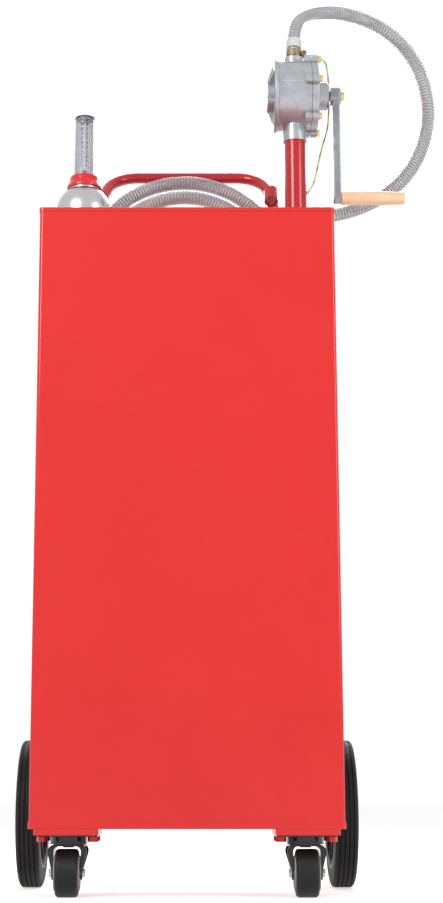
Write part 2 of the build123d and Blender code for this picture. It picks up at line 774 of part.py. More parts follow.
rotor_length = barrel_back + barrel_front - 2 * gap
with BuildPart() as pump_rotor:
    with BuildSketch(pump_plane(-barrel_back + gap)):
        Circle(rotor_radius)
        with PolarLocations(rotor_radius - vane_depth / 2, vane_count, start_angle=45):
            Rectangle(vane_depth + overrun, vane_width, mode=Mode.SUBTRACT)
        Circle(shaft_radius + slip, mode=Mode.SUBTRACT)
    extrude(amount=rotor_length)
save(pump_rotor, "pump_rotor")

with BuildPart() as pump_vane_set:
    with BuildSketch(pump_plane(-barrel_back + gap)):
        with PolarLocations(rotor_radius - vane_depth / 2, vane_count, start_angle=45):
            Rectangle(vane_depth - 2 * gap, vane_width - 2 * slip)
    extrude(amount=rotor_length)
save(pump_vane_set, "pump_vanes")

# Crank arm, its bolt and the grip on its spindle
arm_base = head_base + (crank_head - crank_arm) / 2
arm_face = arm_base + crank_arm
with BuildPart() as crank_arm_part:
    with BuildSketch(pump_plane(arm_base)):
        Circle(crank_arm_top)
        with Locations((0, -crank_radius)):
            Circle(crank_arm_end)
        make_hull()
    extrude(amount=crank_arm)
    fillet(crank_arm_part.edges().filter_by(Plane.YZ), cast_round)
    with BuildSketch(pump_plane(head_base)):
        Circle(crank_head_radius)
    extrude(amount=crank_head)
    fillet(crank_arm_part.faces().sort_by(Axis.X)[-1].edges(), crank_head_round)
    with BuildSketch(pump_plane(head_base)):
        Circle(shaft_radius + slip)
        with Locations((0, -crank_radius)):
            Circle(spindle_radius + slip)
    extrude(amount=crank_head, mode=Mode.SUBTRACT)
save(crank_arm_part, "crank_arm")

with BuildPart() as crank_bolt:
    with BuildSketch(pump_plane(head_face)):
        Circle(crank_bolt_across / 2 + crank_bolt_washer)
    extrude(amount=crank_bolt_washer)
    with BuildSketch(pump_plane(head_face + crank_bolt_washer)):
        RegularPolygon(crank_bolt_across / 2, 6, major_radius=False)
    extrude(amount=crank_bolt_head - crank_bolt_washer)
save(crank_bolt, "crank_bolt")

grip_base = arm_face + grip_gap
grip_end = grip_base + grip_length
grip_height = shaft_height - crank_radius
with BuildPart() as grip_spindle:
    with BuildSketch(across(riser_x + arm_base, tank_mid, grip_height)):
        Circle(spindle_radius)
    extrude(amount=grip_end - spindle_recess - arm_base + spindle_head)
    with BuildSketch(across(riser_x + grip_end - spindle_recess + gap, tank_mid, grip_height)):
        Circle(spindle_head_radius)
    extrude(amount=spindle_head)
save(grip_spindle, "grip_spindle")

with BuildPart() as crank_grip:
    with BuildSketch(facing(tank_mid, riser_x + grip_base, grip_height)):
        with BuildLine():
            Line((0, spindle_radius + fit), (0, grip_inner_radius - grip_round))
            Line((0, grip_inner_radius - grip_round), (grip_round, grip_inner_radius))
            ThreePointArc((grip_round, grip_inner_radius), (grip_length / 2, grip_middle_radius),
                          (grip_length - grip_round, grip_outer_radius))
            Polyline((grip_length - grip_round, grip_outer_radius),
                     (grip_length, grip_outer_radius - grip_round),
                     (grip_length, spindle_recess_radius),
                     (grip_length - spindle_recess, spindle_recess_radius),
                     (grip_length - spindle_recess, spindle_radius + fit),
                     (0, spindle_radius + fit))
        make_face()
    revolve(axis=Axis(place(riser_x, tank_mid, grip_height), (1, 0, 0)))
save(crank_grip, "crank_grip")

# Outlet barb and hose clamp
outlet_top = shaft_height + outlet_boss_rise
with BuildPart() as outlet_barb:
    with BuildSketch(level(outlet_top - barb_root, riser_x, tank_mid)):
        Circle(hose_bore - barb_play)
        Circle(hose_bore - barb_play - barb_wall, mode=Mode.SUBTRACT)
    extrude(amount=barb_root + barb_height)
save(outlet_barb, "outlet_barb")

hose_base = outlet_top + gap
with BuildPart() as hose_clamp:
    clamp_base = hose_base + clamp_lift
    with BuildSketch(level(clamp_base, riser_x, tank_mid)):
        Circle(hose_radius + slip + clamp_band)
        with Locations((hose_radius + clamp_housing / 2, 0)):
            Rectangle(clamp_housing, clamp_housing_length)
        Circle(hose_radius + slip, mode=Mode.SUBTRACT)
    extrude(amount=clamp_width)
    with BuildSketch(facing(tank_mid - clamp_housing_length / 2,
                            riser_x + hose_radius + clamp_housing / 2 + clamp_band,
                            clamp_base + clamp_width / 2)):
        Circle(clamp_screw_radius)
    extrude(amount=clamp_screw_head)
save(hose_clamp, "hose_clamp")

# Free stretch of the hose: straight runs joined by tangent arcs, route chosen by hand
coil_height = tank_top - coil_drop
coil_back_y = tank_depth + coil_back
coil_front_y = tank_depth + coil_front
coil_entry = place(2 * hose_radius, coil_back_y, coil_height + coil_inner)
def off_riser(x, y, height):
    """Point of a cord, measured from the riser's middle at the lid."""
    return place(riser_x + x, tank_mid + y, tank_top + height)


hose_route = [
    place(riser_x, tank_mid, hose_base),
    off_riser(0, 0, 365),
    off_riser(6, 15, 403),
    off_riser(22, 44, 432),
    off_riser(56, 84, 462),
    off_riser(106, 118, 476.5),
    off_riser(161, 142, 470),
    off_riser(211, 159, 443.5),
    off_riser(248, 174, 399),
    off_riser(268, 188, 344),
    off_riser(270.5, 199, 286),
    off_riser(254, 205, 228),
    off_riser(223, 206, 178),
    off_riser(178, 203.5, 139),
    off_riser(125, 199, 112),
    off_riser(68, 197.5, 98.5),
    off_riser(8, 199.5, 96),
    off_riser(-50, 202.5, 98),
    place(84, coil_back_y, coil_height + coil_inner),
    coil_entry,
]


def route_radii(points):
    """Largest arc at each corner: 0.45 of the shorter run over the tangent of half the turn."""
    arc_share = 0.45
    radii = []
    for before, corner, after in zip(points, points[1:], points[2:]):
        turn = (corner - before).get_angle(after - corner)
        shorter = min((corner - before).length, (after - corner).length)
        radii.append(arc_share * shorter / tan(radians(turn) / 2))
    return radii


def sweep_tube(path, start, heading, outer, inner):
    """Tube of the two radii along a path."""
    with BuildSketch(Plane(origin=start, z_dir=heading)) as section:
        Circle(outer)
        Circle(inner, mode=Mode.SUBTRACT)
    sweep(section.sketch, path=path)


hose_radii = route_radii(hose_route)
print("hose radii", [round(radius) for radius in hose_radii])
with BuildPart() as hose_loop:
    with BuildLine() as hose_line:
        FilletPolyline(*hose_route, radius=hose_radii)
    sweep_tube(hose_line.wire(), hose_route[0], hose_route[1] - hose_route[0], hose_radius, hose_bore)
loop_length = hose_line.wire().length
tube_area = pi * (hose_radius ** 2 - hose_bore ** 2)
print("hose_loop length", round(loop_length), "volume share",
      round(hose_loop.part.volume / (tube_area * loop_length), 4))
save(hose_loop, "hose_loop")

# The white sleeve starts on the straight and follows the hose's first arc
first_turn = hose_route[2] - hose_route[1]
first_half = radians(first_turn.get_angle(Vector(0, 0, 1))) / 2
arc_start = hose_route[1] - Vector(0, 0, hose_radii[0] * tan(first_half))
arc_side = Vector(first_turn.X, first_turn.Y, 0).normalized()
sleeve_start = place(riser_x, tank_mid, hose_base + sleeve_lift)
sleeve_turn = (sleeve_length - (arc_start - sleeve_start).length) / hose_radii[0]
sleeve_end = arc_start + (arc_side * (1 - cos(sleeve_turn)) + Vector(0, 0, sin(sleeve_turn))) * hose_radii[0]
with BuildPart() as hose_sleeve:
    with BuildLine() as sleeve_line:
        Line(sleeve_start, arc_start)
        TangentArc(arc_start, sleeve_end, tangent=(0, 0, 1))
    sweep_tube(sleeve_line.wire(), sleeve_start, (0, 0, 1), hose_radius + sleeve_play + sleeve_wall,
               hose_radius + sleeve_play)
save(hose_sleeve, "hose_sleeve")

# Coil: half turns as biarcs that spiral out, the first one also coming forward to the front layer
coil_middle = place(0, 0, coil_height)


def coil_point(half_turn):
    """Hose's middle after so many half turns, counted from the top where it comes in."""
    radius = coil_inner + coil_pitch * half_turn / 2
    side = 1 if half_turn % 2 == 0 else -1
    depth = coil_back_y if half_turn == 0 else coil_front_y
    return coil_middle + Vector(0, depth, side * radius)


coil_points = [coil_point(half_turn) for half_turn in range(2 * coil_turns + 1)]
last_turn = coil_points[-1]
quarter_radius = coil_inner + coil_pitch * (coil_turns + 0.25)
quarter_end = last_turn + Vector(-quarter_radius, 0, -quarter_radius)
tail_end = quarter_end - Vector(0, 0, 2 * hose_radius)
with BuildPart() as hose_coil:
    with BuildLine() as coil_line:
        Line(coil_entry, coil_points[0])
        heading = Vector(-1, 0, 0)
        for start, end in zip(coil_points, coil_points[1:]):
            reach = (end - start).length / 2
            middle = (start + end) / 2 + heading * reach
            TangentArc(start, middle, tangent=heading)
            TangentArc(middle, end, tangent=end - start)
            heading = heading * -1
        TangentArc(last_turn, quarter_end, tangent=heading)
        Line(quarter_end, tail_end)
    sweep_tube(coil_line.wire(), coil_entry, (-1, 0, 0), hose_radius, hose_bore)
coil_length = coil_line.wire().length
print("hose_coil length", round(coil_length), "volume share",
      round(hose_coil.part.volume / (tube_area * coil_length), 4))
print("whole hose", round(loop_length + coil_length))


def least_self_gap(wire, diameter):
    """Least space between stretches of a wound tube that lie over four diameters apart along it."""
    steps = ceil(wire.length / (diameter / 4))
    step_length = wire.length / steps
    points = [wire.position_at(index / steps) for index in range(steps + 1)]
    skip = ceil(4 * diameter / step_length)
    return min((first - second).length for index, first in enumerate(points)
               for second in points[index + skip:]) - diameter


print("coil least gap to itself", round(least_self_gap(coil_line.wire(), 2 * hose_radius), 2))
save(hose_coil, "hose_coil")

# Hooks behind the tank that carry the coil
hook_circle = coil_inner - hose_radius - gap - hook_radius
hook_x = hook_circle * sin(radians(hook_angle))
hook_height = coil_height + hook_circle * cos(radians(hook_angle))
strap_base = hook_height - strap_length
for side_name, side in SIDES:
    with BuildPart() as hose_hook:
        with BuildSketch(facing(tank_depth + strap, side * hook_x, strap_base + strap_length / 2)):
            RectangleRounded(strap_width, strap_length, bracket_round)
            with Locations((0, -strap_length / 2 + strap_bolt_inset),
                           (0, -strap_length / 2 + strap_bolt_inset + strap_bolt_spacing)):
                Circle(filler_screw + slip, mode=Mode.SUBTRACT)
        extrude(amount=strap)
        hook_start = place(side * hook_x, tank_depth, hook_height)
        hook_out = hook_start + Vector(0, hook_reach, 0)
        with BuildLine() as hook_line:
            FilletPolyline(hook_start, hook_out, hook_out + Vector(0, 0, hook_tip + hook_bend),
                           radius=hook_bend)
        with BuildSketch(Plane(origin=hook_start, z_dir=(0, 1, 0))):
            Circle(hook_radius)
        sweep(path=hook_line.wire())
    save(hose_hook, f"hose_hook_{side_name}")

with BuildPart() as hook_bolt_set:
    for side_name, side in SIDES:
        with BuildSketch(facing(tank_depth + strap, side * hook_x, strap_base + strap_bolt_inset)):
            with Locations((0, 0), (0, strap_bolt_spacing)):
                RegularPolygon(strap_bolt_across / 2, 6, major_radius=False)
        extrude(amount=-strap_bolt_head)
        with BuildSketch(facing(tank_depth + strap, side * hook_x, strap_base + strap_bolt_inset)):
            with Locations((0, 0), (0, strap_bolt_spacing)):
                Circle(filler_screw)
        extrude(amount=strap)
save(hook_bolt_set, "hook_bolts")

# Nozzle hanging from the hose's far end
nozzle_x = tail_end.X - mid_x
nozzle_y = tail_end.Y - front_y
nozzle_axis = upright_axis(nozzle_x, nozzle_y)
with BuildPart() as nozzle_ferrule:
    with BuildSketch(level(tail_end.Z, nozzle_x, nozzle_y)):
        Circle(hose_radius + slip + ferrule_wall)
        Circle(hose_radius + slip, mode=Mode.SUBTRACT)
    extrude(amount=2 * hose_radius)
save(nozzle_ferrule, "nozzle_ferrule")

valve_top = -nozzle_grip_length
valve_base = valve_top - nozzle_valve_length
pivot_z = tail_end.Z + valve_top
with BuildPart() as nozzle_body:
    with BuildSketch(facing(nozzle_y, nozzle_x, tail_end.Z)):
        with BuildLine():
            Polyline((0, 0), (nozzle_grip_radius, 0), (nozzle_grip_radius, valve_top + nozzle_taper),
                     (nozzle_valve_radius, valve_top), (nozzle_valve_radius, valve_base),
                     (spout_radius + ferrule_wall, valve_base - nozzle_taper),
                     (0, valve_base - nozzle_taper), close=True)
        make_face()
    revolve(axis=nozzle_axis)
    with BuildSketch(facing(nozzle_y, nozzle_x, pivot_z)):
        with Locations((-lever_pivot_offset, 0)):
            Circle(2 * lever_pivot_radius)
        with Locations((-lever_pivot_offset / 2, 0)):
            Rectangle(lever_pivot_offset, 4 * lever_pivot_radius)
    extrude(amount=lever_width / 2 + gap + lever_ear, both=True)
    with BuildSketch(facing(nozzle_y, nozzle_x, pivot_z)):
        with Locations((-lever_pivot_offset, 0)):
            Circle(2 * lever_pivot_radius + 2 * gap)
    extrude(amount=lever_width / 2 + gap, both=True, mode=Mode.SUBTRACT)
    with BuildSketch(facing(nozzle_y, nozzle_x - lever_pivot_offset, pivot_z)):
        Circle(lever_pivot_radius)
    extrude(amount=lever_width / 2 + gap + lever_ear, both=True)
save(nozzle_body, "nozzle_body")

lean = radians(lever_angle)
lever_plane = Plane(origin=place(nozzle_x - lever_pivot_offset, nozzle_y, pivot_z),
                    x_dir=(-sin(lean), 0, cos(lean)), z_dir=(0, -1, 0))
with BuildPart() as nozzle_lever:
    with BuildSketch(lever_plane):
        Circle(2 * lever_pivot_radius)
        with Locations((lever_length / 2, lever_pivot_radius)):
            SlotOverall(lever_length, lever_thickness)
        Circle(lever_pivot_radius + fit, mode=Mode.SUBTRACT)
    extrude(amount=lever_width / 2, both=True)
save(nozzle_lever, "nozzle_lever")

spout_top = place(nozzle_x, nozzle_y, tail_end.Z + valve_base - nozzle_taper)
bend_corner = spout_top - Vector(0, 0, spout_straight)
spout_way = Vector(-sin(radians(spout_bend)), 0, -cos(radians(spout_bend)))
with BuildPart() as nozzle_spout:
    with BuildLine() as spout_line:
        FilletPolyline(spout_top, bend_corner, bend_corner + spout_way * spout_end,
                       radius=spout_bend_radius)
    sweep_tube(spout_line.wire(), spout_top, (0, 0, -1), spout_radius, spout_radius - spout_wall)
save(nozzle_spout, "nozzle_spout")

# Handle and nozzle holder
handle_y = tank_depth + handle_radius + slip
handle_height = tank_top + handle_rise
with BuildPart() as handle_bar:
    with BuildLine() as handle_line:
        FilletPolyline(place(-handle_half, handle_y, tank_top - handle_leg),
                       place(-handle_half, handle_y, tank_top + handle_knee),
                       place(handle_narrow - handle_half, handle_y + handle_lean, handle_height),
                       place(handle_half - handle_narrow, handle_y + handle_lean, handle_height),
                       place(handle_half, handle_y, tank_top + handle_knee),
                       place(handle_half, handle_y, tank_top - handle_leg),
                       radius=[knee_bend, handle_bend, handle_bend, knee_bend])
    sweep_tube(handle_line.wire(), place(-handle_half, handle_y, tank_top - handle_leg), (0, 0, 1),
               handle_radius, handle_radius - handle_wall)
save(handle_bar, "handle_bar")

tilt = radians(holder_tilt)
holder_way = Vector(0, sin(tilt), cos(tilt))
holder_back = slip + holder_radius * cos(tilt) + holder_length / 2 * sin(tilt)
holder_middle = place(handle_half - holder_inset, handle_y - handle_radius - holder_back + holder_seat,
                      tank_top + holder_rise)
with BuildPart() as nozzle_holder:
    with BuildSketch(Plane(origin=holder_middle, z_dir=holder_way)):
        Circle(holder_radius)
        Circle(holder_bore, mode=Mode.SUBTRACT)
    extrude(amount=holder_length / 2, both=True)
save(nozzle_holder, "nozzle_holder")

# Casters: welded bracket, bolted plate with its race, fork, wheel and axle
plate_top = tank_base - bracket_height
cup_top = plate_top - plate_sheet
ring_top = cup_top - race_cup
fork_top = ring_top - ring_height
for side_name, side in SIDES:
    x = side * caster_x
    with BuildPart() as caster_plate:
        with BuildSketch(level(cup_top, x, caster_back)):
            RectangleRounded(plate_width, plate_depth, bracket_round)
        extrude(amount=plate_sheet)
        with BuildSketch(level(cup_top, x, caster_back)):
            Circle(race_radius)
        extrude(amount=-race_cup)
        with BuildSketch(level(plate_top, x, caster_back)):
            with GridLocations(plate_bolt_x, plate_bolt_y, 2, 2):
                Circle(caster_bolt + slip)
        extrude(amount=-plate_sheet, mode=Mode.SUBTRACT)
        with BuildSketch(under(ring_top, x, caster_back)):
            Circle(kingpin_radius)
        extrude(amount=ring_height + fork_sheet + gap)
        with BuildSketch(under(fork_top - fork_sheet - gap, x, caster_back)):
            Circle(kingpin_head)
        extrude(amount=kingpin_head_height)
    save(caster_plate, f"caster_plate_{side_name}")

    with BuildPart() as caster_fork:
        with BuildSketch(facing(caster_back, x, fork_top)) as fork_arch:
            with BuildLine():
                Polyline((-fork_shoulder, 0), (fork_shoulder, 0),
                         (fork_shoulder, -fork_shoulder_drop), (fork_leg, -fork_taper_drop),
                         (fork_leg, caster_radius - fork_boss - fork_top),
                         (-fork_leg, caster_radius - fork_boss - fork_top),
                         (-fork_leg, -fork_taper_drop), (-fork_shoulder, -fork_shoulder_drop),
                         close=True)
            make_face()
            with BuildLine():
                Polyline((fork_sheet - fork_leg, -fork_sheet), (fork_leg - fork_sheet, -fork_sheet),
                         (fork_leg - fork_sheet, -fork_top), (fork_sheet - fork_leg, -fork_top),
                         close=True)
            make_face(mode=Mode.SUBTRACT)
            fillet(fork_arch.vertices().group_by(Axis.Y)[-2], fork_round - fork_sheet)
            fillet(fork_arch.vertices().group_by(Axis.Y)[-1], fork_round)
        extrude(amount=fork_shoulder + caster_trail, both=True)
        with BuildSketch(across(x, caster_back, fork_top)):
            with Locations((-caster_trail, caster_radius - fork_top)):
                Circle(fork_boss)
            with Locations((0, -fork_shoulder_drop / 4)):
                Rectangle(2 * fork_shoulder, fork_shoulder_drop / 2)
            make_hull()
        extrude(amount=fork_shoulder, both=True, mode=Mode.INTERSECT)
        for end in (-1, 1):
            with BuildSketch(across(x + end * fork_leg, caster_back, fork_top)) as pocket:
                with Locations((-caster_trail, caster_radius - fork_top)):
                    Circle(fork_boss)
                with Locations((0, -fork_shoulder_drop / 4)):
                    Rectangle(2 * fork_shoulder, fork_shoulder_drop / 2)
                make_hull()
                offset(amount=-fork_sheet, mode=Mode.REPLACE)
            extrude(amount=end * fork_shoulder, mode=Mode.SUBTRACT)
        with BuildSketch(level(fork_top, x, caster_back)):
            Circle(ring_radius)
            Circle(ring_radius - ring_width, mode=Mode.SUBTRACT)
        extrude(amount=ring_height - gap)
        with BuildSketch(level(fork_top, x, caster_back)):
            Circle(kingpin_radius + fit)
        extrude(amount=-fork_sheet, mode=Mode.SUBTRACT)
        with BuildSketch(across(x, caster_back - caster_trail, caster_radius)):
            Circle(caster_axle + slip)
        extrude(amount=fork_leg, both=True, mode=Mode.SUBTRACT)
    save(caster_fork, f"caster_fork_{side_name}")

    with BuildPart() as caster_axle_part:
        with BuildSketch(across(x, caster_back - caster_trail, caster_radius)):
            Circle(caster_axle)
        extrude(amount=fork_leg, both=True)
        for end in (-1, 1):
            with BuildSketch(across(x + end * fork_leg, caster_back - caster_trail, caster_radius)):
                RegularPolygon(caster_nut_across / 2, 6, major_radius=False)
            extrude(amount=end * caster_nut)
    save(caster_axle_part, f"caster_axle_{side_name}")

    with BuildPart() as caster_tyre:
        with BuildSketch(across(x - caster_half, caster_back - caster_trail, caster_radius)):
            Circle(caster_radius)
        extrude(amount=2 * caster_half)
        fillet(caster_tyre.edges().filter_by(GeomType.CIRCLE), caster_round)
        with BuildSketch(across(x - caster_half, caster_back - caster_trail, caster_radius)):
            Circle(caster_rim_radius)
        extrude(amount=2 * caster_half, mode=Mode.SUBTRACT)
    save(caster_tyre, f"caster_tyre_{side_name}")

    with BuildPart() as caster_hub:
        with BuildSketch(across(x - caster_half, caster_back - caster_trail, caster_radius)):
            Circle(caster_rim_radius - slip)
            Circle(caster_hub_radius, mode=Mode.SUBTRACT)
        extrude(amount=2 * caster_half)
        with BuildSketch(across(x - caster_hub_half, caster_back - caster_trail, caster_radius)):
            Circle(caster_rim_radius - slip)
            Circle(caster_rim_radius - bracket_sheet, mode=Mode.SUBTRACT)
            Circle(caster_hub_radius)
        extrude(amount=2 * caster_hub_half)
        with BuildSketch(across(x - caster_hub_half, caster_back - caster_trail, caster_radius)):
            Circle(caster_axle + fit)
        extrude(amount=2 * caster_hub_half, mode=Mode.SUBTRACT)
    save(caster_hub, f"caster_hub_{side_name}")

with BuildPart() as caster_bolt_set:
    for side_name, side in SIDES:
        with BuildSketch(level(cup_top, side * caster_x, caster_back)):
            with GridLocations(plate_bolt_x, plate_bolt_y, 2, 2):
                RegularPolygon(caster_bolt_across / 2, 6, major_radius=False)
        extrude(amount=-caster_bolt_head)
        with BuildSketch(level(cup_top, side * caster_x, caster_back)):
            with GridLocations(plate_bolt_x, plate_bolt_y, 2, 2):
                Circle(caster_bolt)
        extrude(amount=plate_sheet + bracket_sheet + overrun / 2)
save(caster_bolt_set, "caster_bolts")

# Fixed wheels on one axle behind the tank
wall_back = tank_depth - seam
foot_base = tank_base + base_lip + gap
wheel_inner = tank_width / 2 + wheel_gap
wheel_outer = wheel_inner + wheel_width
axle_height = wheel_radius
with BuildPart() as rear_axle:
    with BuildSketch(across(0, axle_back, axle_height)):
        Circle(axle_radius)
    extrude(amount=wheel_outer + gap + overrun, both=True)
    for side_name, side in SIDES:
        with BuildSketch(across(side * (wheel_outer + gap), axle_back, axle_height)):
            Circle(cap_radius)
        extrude(amount=side * (cap_length - gap))
    fillet([rear_axle.faces().sort_by(Axis.X)[end].edges() for end in (0, -1)], cap_round)
save(rear_axle, "rear_axle")

for side_name, side in SIDES:
    inner_x = side * wheel_inner
    with BuildPart() as rear_tyre:
        with BuildSketch(across(inner_x, axle_back, axle_height)):
            Circle(wheel_radius)
        extrude(amount=side * wheel_width)
        fillet(rear_tyre.edges().filter_by(GeomType.CIRCLE), tread_round)
        with BuildSketch(across(inner_x, axle_back, axle_height)):
            Circle(wheel_radius - tyre_section)
        extrude(amount=side * wheel_width, mode=Mode.SUBTRACT)
        groove_step = wheel_width / (tread_grooves + 1)
        for groove in range(tread_grooves):
            with BuildSketch(across(inner_x + side * (groove_step * (groove + 1) - tread_groove / 2),
                                    axle_back, axle_height)):
                Circle(wheel_radius + overrun)
                Circle(wheel_radius - tread_groove_depth, mode=Mode.SUBTRACT)
            extrude(amount=side * tread_groove, mode=Mode.SUBTRACT)
    save(rear_tyre, f"rear_tyre_{side_name}")

    rim_radius = wheel_radius - tyre_section - slip
    with BuildPart() as rear_hub:
        with BuildSketch(across(inner_x, axle_back, axle_height)):
            Circle(rim_radius)
            Circle(rim_radius - rim_thickness, mode=Mode.SUBTRACT)
            Circle(hub_radius)
        extrude(amount=side * wheel_width)
        with BuildSketch(across(inner_x + side * (wheel_width - web_thickness) / 2,
                                axle_back, axle_height)):
            Circle(rim_radius - rim_thickness / 2)
        extrude(amount=side * web_thickness)
        with BuildSketch(across(inner_x + side * rim_thickness, axle_back, axle_height)):
            with PolarLocations((rim_radius + hub_radius) / 2 - rim_thickness / 2, web_ribs):
                Rectangle(rim_radius - hub_radius, web_rib_width)
        extrude(amount=side * (wheel_width - 2 * rim_thickness))
        with BuildSketch(across(inner_x, axle_back, axle_height)):
            Circle(axle_radius + fit)
        extrude(amount=side * wheel_width, mode=Mode.SUBTRACT)
    save(rear_hub, f"rear_hub_{side_name}")

    bracket_x = side * axle_bracket_x
    with BuildPart() as axle_bracket:
        with BuildSketch(across(bracket_x, 0, 0)):
            with Locations((axle_back, axle_height)):
                Circle(axle_bracket_boss)
            with Locations((wall_back + axle_bracket_sheet / 2, foot_base + axle_bracket_top / 2)):
                Rectangle(axle_bracket_sheet, axle_bracket_top)
            make_hull()
        extrude(amount=axle_bracket_sheet / 2, both=True)
        with BuildSketch(facing(wall_back, bracket_x, foot_base + axle_bracket_top / 2)):
            Rectangle(axle_foot_width, axle_bracket_top)
        extrude(amount=-axle_bracket_sheet)
        with BuildSketch(across(bracket_x, axle_back, axle_height)):
            Circle(axle_bracket_boss)
        extrude(amount=side * (wheel_inner - axle_bracket_x - gap))
        with BuildSketch(across(bracket_x, axle_back, axle_height)):
            Circle(axle_radius + slip)
        extrude(amount=wheel_inner, both=True, mode=Mode.SUBTRACT)
    save(axle_bracket, f"axle_bracket_{side_name}")

# Earth wire: from a cover bolt, behind the crank's head, to a screw on the riser
phase = radians(cover_bolt_phase)
bolt_y = tank_mid - cover_bolt_circle * sin(phase)
bolt_z = shaft_height + cover_bolt_circle * cos(phase)
bolt_end_x = riser_x + cover_face + bolt_washer + bolt_head
wire_start = place(bolt_end_x + wire_stand, bolt_y, bolt_z)
wire_end = place(riser_x + riser_radius + wire_stand, tank_mid, tank_top + wire_foot)
wire_route = [
    wire_start,
    wire_start + Vector(8, 4, -2),
    off_riser(60, -6, 301),
    off_riser(64.5, 19, 275),
    off_riser(64.5, 31, 242),
    off_riser(62, 31, 208),
    off_riser(52, 25, 176),
    off_riser(43, 18, 140),
    off_riser(36, 10, 104),
    wire_end + Vector(8, 3, 10),
    wire_end,
]
wire_radii = route_radii(wire_route)
print("wire radii", [round(radius, 1) for radius in wire_radii])
with BuildPart() as ground_wire:
    with BuildLine() as wire_line:
        FilletPolyline(*wire_route, radius=wire_radii)
    with BuildSketch(Plane(origin=wire_start, z_dir=wire_route[1] - wire_start)):
        Circle(wire_radius)
    sweep(path=wire_line.wire())
print("wire length", round(wire_line.wire().length, 1), "volume share",
      round(ground_wire.part.volume / (pi * wire_radius ** 2 * wire_line.wire().length), 4))
save(ground_wire, "ground_wire")

print("frame", round(mid_x, 3), round(front_y, 3))
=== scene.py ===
# %% [markdown]
# A wheeled fuel caddy is a tall steel tank that one person pushes about a workshop. It has a float
# gauge on its filler, and a hand-cranked vane pump on a riser, whose clear hose hangs in a coil
# behind the tank. The CAD model holds every size. This script loads it as a fixed frame, gives each
# piece its finish, and adds the small forms that CAD leaves plain.

# %% Load the frame
from math import cos, pi, radians, sin

import bmesh
import bpy
import numpy as np
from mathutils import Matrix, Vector


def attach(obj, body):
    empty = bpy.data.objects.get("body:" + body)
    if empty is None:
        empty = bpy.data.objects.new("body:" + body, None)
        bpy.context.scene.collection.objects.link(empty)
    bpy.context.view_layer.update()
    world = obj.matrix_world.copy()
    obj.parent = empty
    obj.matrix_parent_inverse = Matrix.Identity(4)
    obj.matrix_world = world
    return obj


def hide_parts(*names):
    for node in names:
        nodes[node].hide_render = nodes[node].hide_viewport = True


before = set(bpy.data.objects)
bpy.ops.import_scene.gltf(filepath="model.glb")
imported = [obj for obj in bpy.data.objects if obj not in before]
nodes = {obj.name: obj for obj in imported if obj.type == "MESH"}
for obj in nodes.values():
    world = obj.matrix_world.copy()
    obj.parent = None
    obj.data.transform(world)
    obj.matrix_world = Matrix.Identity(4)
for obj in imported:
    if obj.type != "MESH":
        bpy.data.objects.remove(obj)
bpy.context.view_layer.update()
tank_front = np.array([-0.041, -0.236, 0.0])
tank_middle = 130.0            # mm behind the tank's front
riser_x, filler_x = 193.0, -182.5
lid_height, shaft_height = 1132.0, 1388.5


def at(points):
    """Millimetres from the middle of the tank's front, as metres of the frame: p / 1000 + origin."""
    return np.asarray(points, dtype=float) / 1000 + tank_front


# %% [markdown]
# The photographer stood about 2.7 m away and held the camera low, so the lid's top can't be seen and
# the pump rises above it. A long lens tilted up by 11.7 degrees gives the same perspective, and a
# small sideways shift keeps the tank's middle left of the picture's middle.

# %% Camera
camera_distance, camera_height, lens_tilt = 2670, 157.3, 11.69
camera_data = bpy.data.cameras.new("camera")
camera_data.lens = 66.32
camera_data.sensor_width = 36
camera_data.shift_x = 0.0382
camera = bpy.data.objects.new("camera", camera_data)
camera.location = at((0, -camera_distance, camera_height))
camera.rotation_euler = (radians(90 + lens_tilt), 0, 0)
bpy.context.scene.collection.objects.link(camera)
bpy.context.scene.camera = camera
print("camera at", tuple(round(value, 3) for value in camera.location))

# %% [markdown]
# Most new pieces are one sheet of quads laid out on a grid of rows and columns. A tube is such a
# sheet whose columns go round and join up, and a ring joins up both ways. The helper below turns any
# grid of points into a mesh, so each piece only has to say where its points are.

# %% Grid meshes
def grid_mesh(name, grid, close_rows=False, close_columns=True, row_values=None):
    """Quads between neighbours of a grid of points; with row values, a UV map with u round the columns
    from 0 to 1 and v the row's value."""
    rows, columns = grid.shape[:2]
    a, b = np.meshgrid(np.arange(rows - (not close_rows)), np.arange(columns - (not close_columns)),
                       indexing="ij")
    steps = ((0, 0), (1, 0), (1, 1), (0, 1))
    quads = np.stack([(a + i) % rows * columns + (b + j) % columns for i, j in steps], -1)
    mesh = bpy.data.meshes.new(name)
    mesh.from_pydata(grid.reshape(-1, 3).tolist(), [], quads.reshape(-1, 4).tolist())
    if row_values is not None:
        values = np.asarray(row_values, dtype=float)
        uv = np.stack([np.stack([(b + j) / columns, values[a + i]], -1) for i, j in steps], 2)
        layer = mesh.uv_layers.new(name="round_and_along")
        layer.uv.foreach_set("vector", uv.reshape(-1).astype(np.float32))
    return mesh


def add_piece(name, mesh, finish, body="caddy", stands_for=(), sharp=35):
    """Make the mesh an object that rides on a body, smooth but for edges sharper than an angle."""
    mesh.materials.append(finish)
    mesh.polygons.foreach_set("use_smooth", np.ones(len(mesh.polygons), dtype=bool))
    mesh.set_sharp_from_angle(angle=radians(sharp))
    piece = bpy.data.objects.new(name, mesh)
    bpy.context.scene.collection.objects.link(piece)
    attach(piece, body)
    if stands_for:
        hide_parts(*stands_for)
    print(name, len(mesh.polygons), "faces")
    return piece


def unit(vectors):
    """Vectors divided by their own length."""
    return vectors / np.linalg.norm(vectors, axis=-1, keepdims=True)


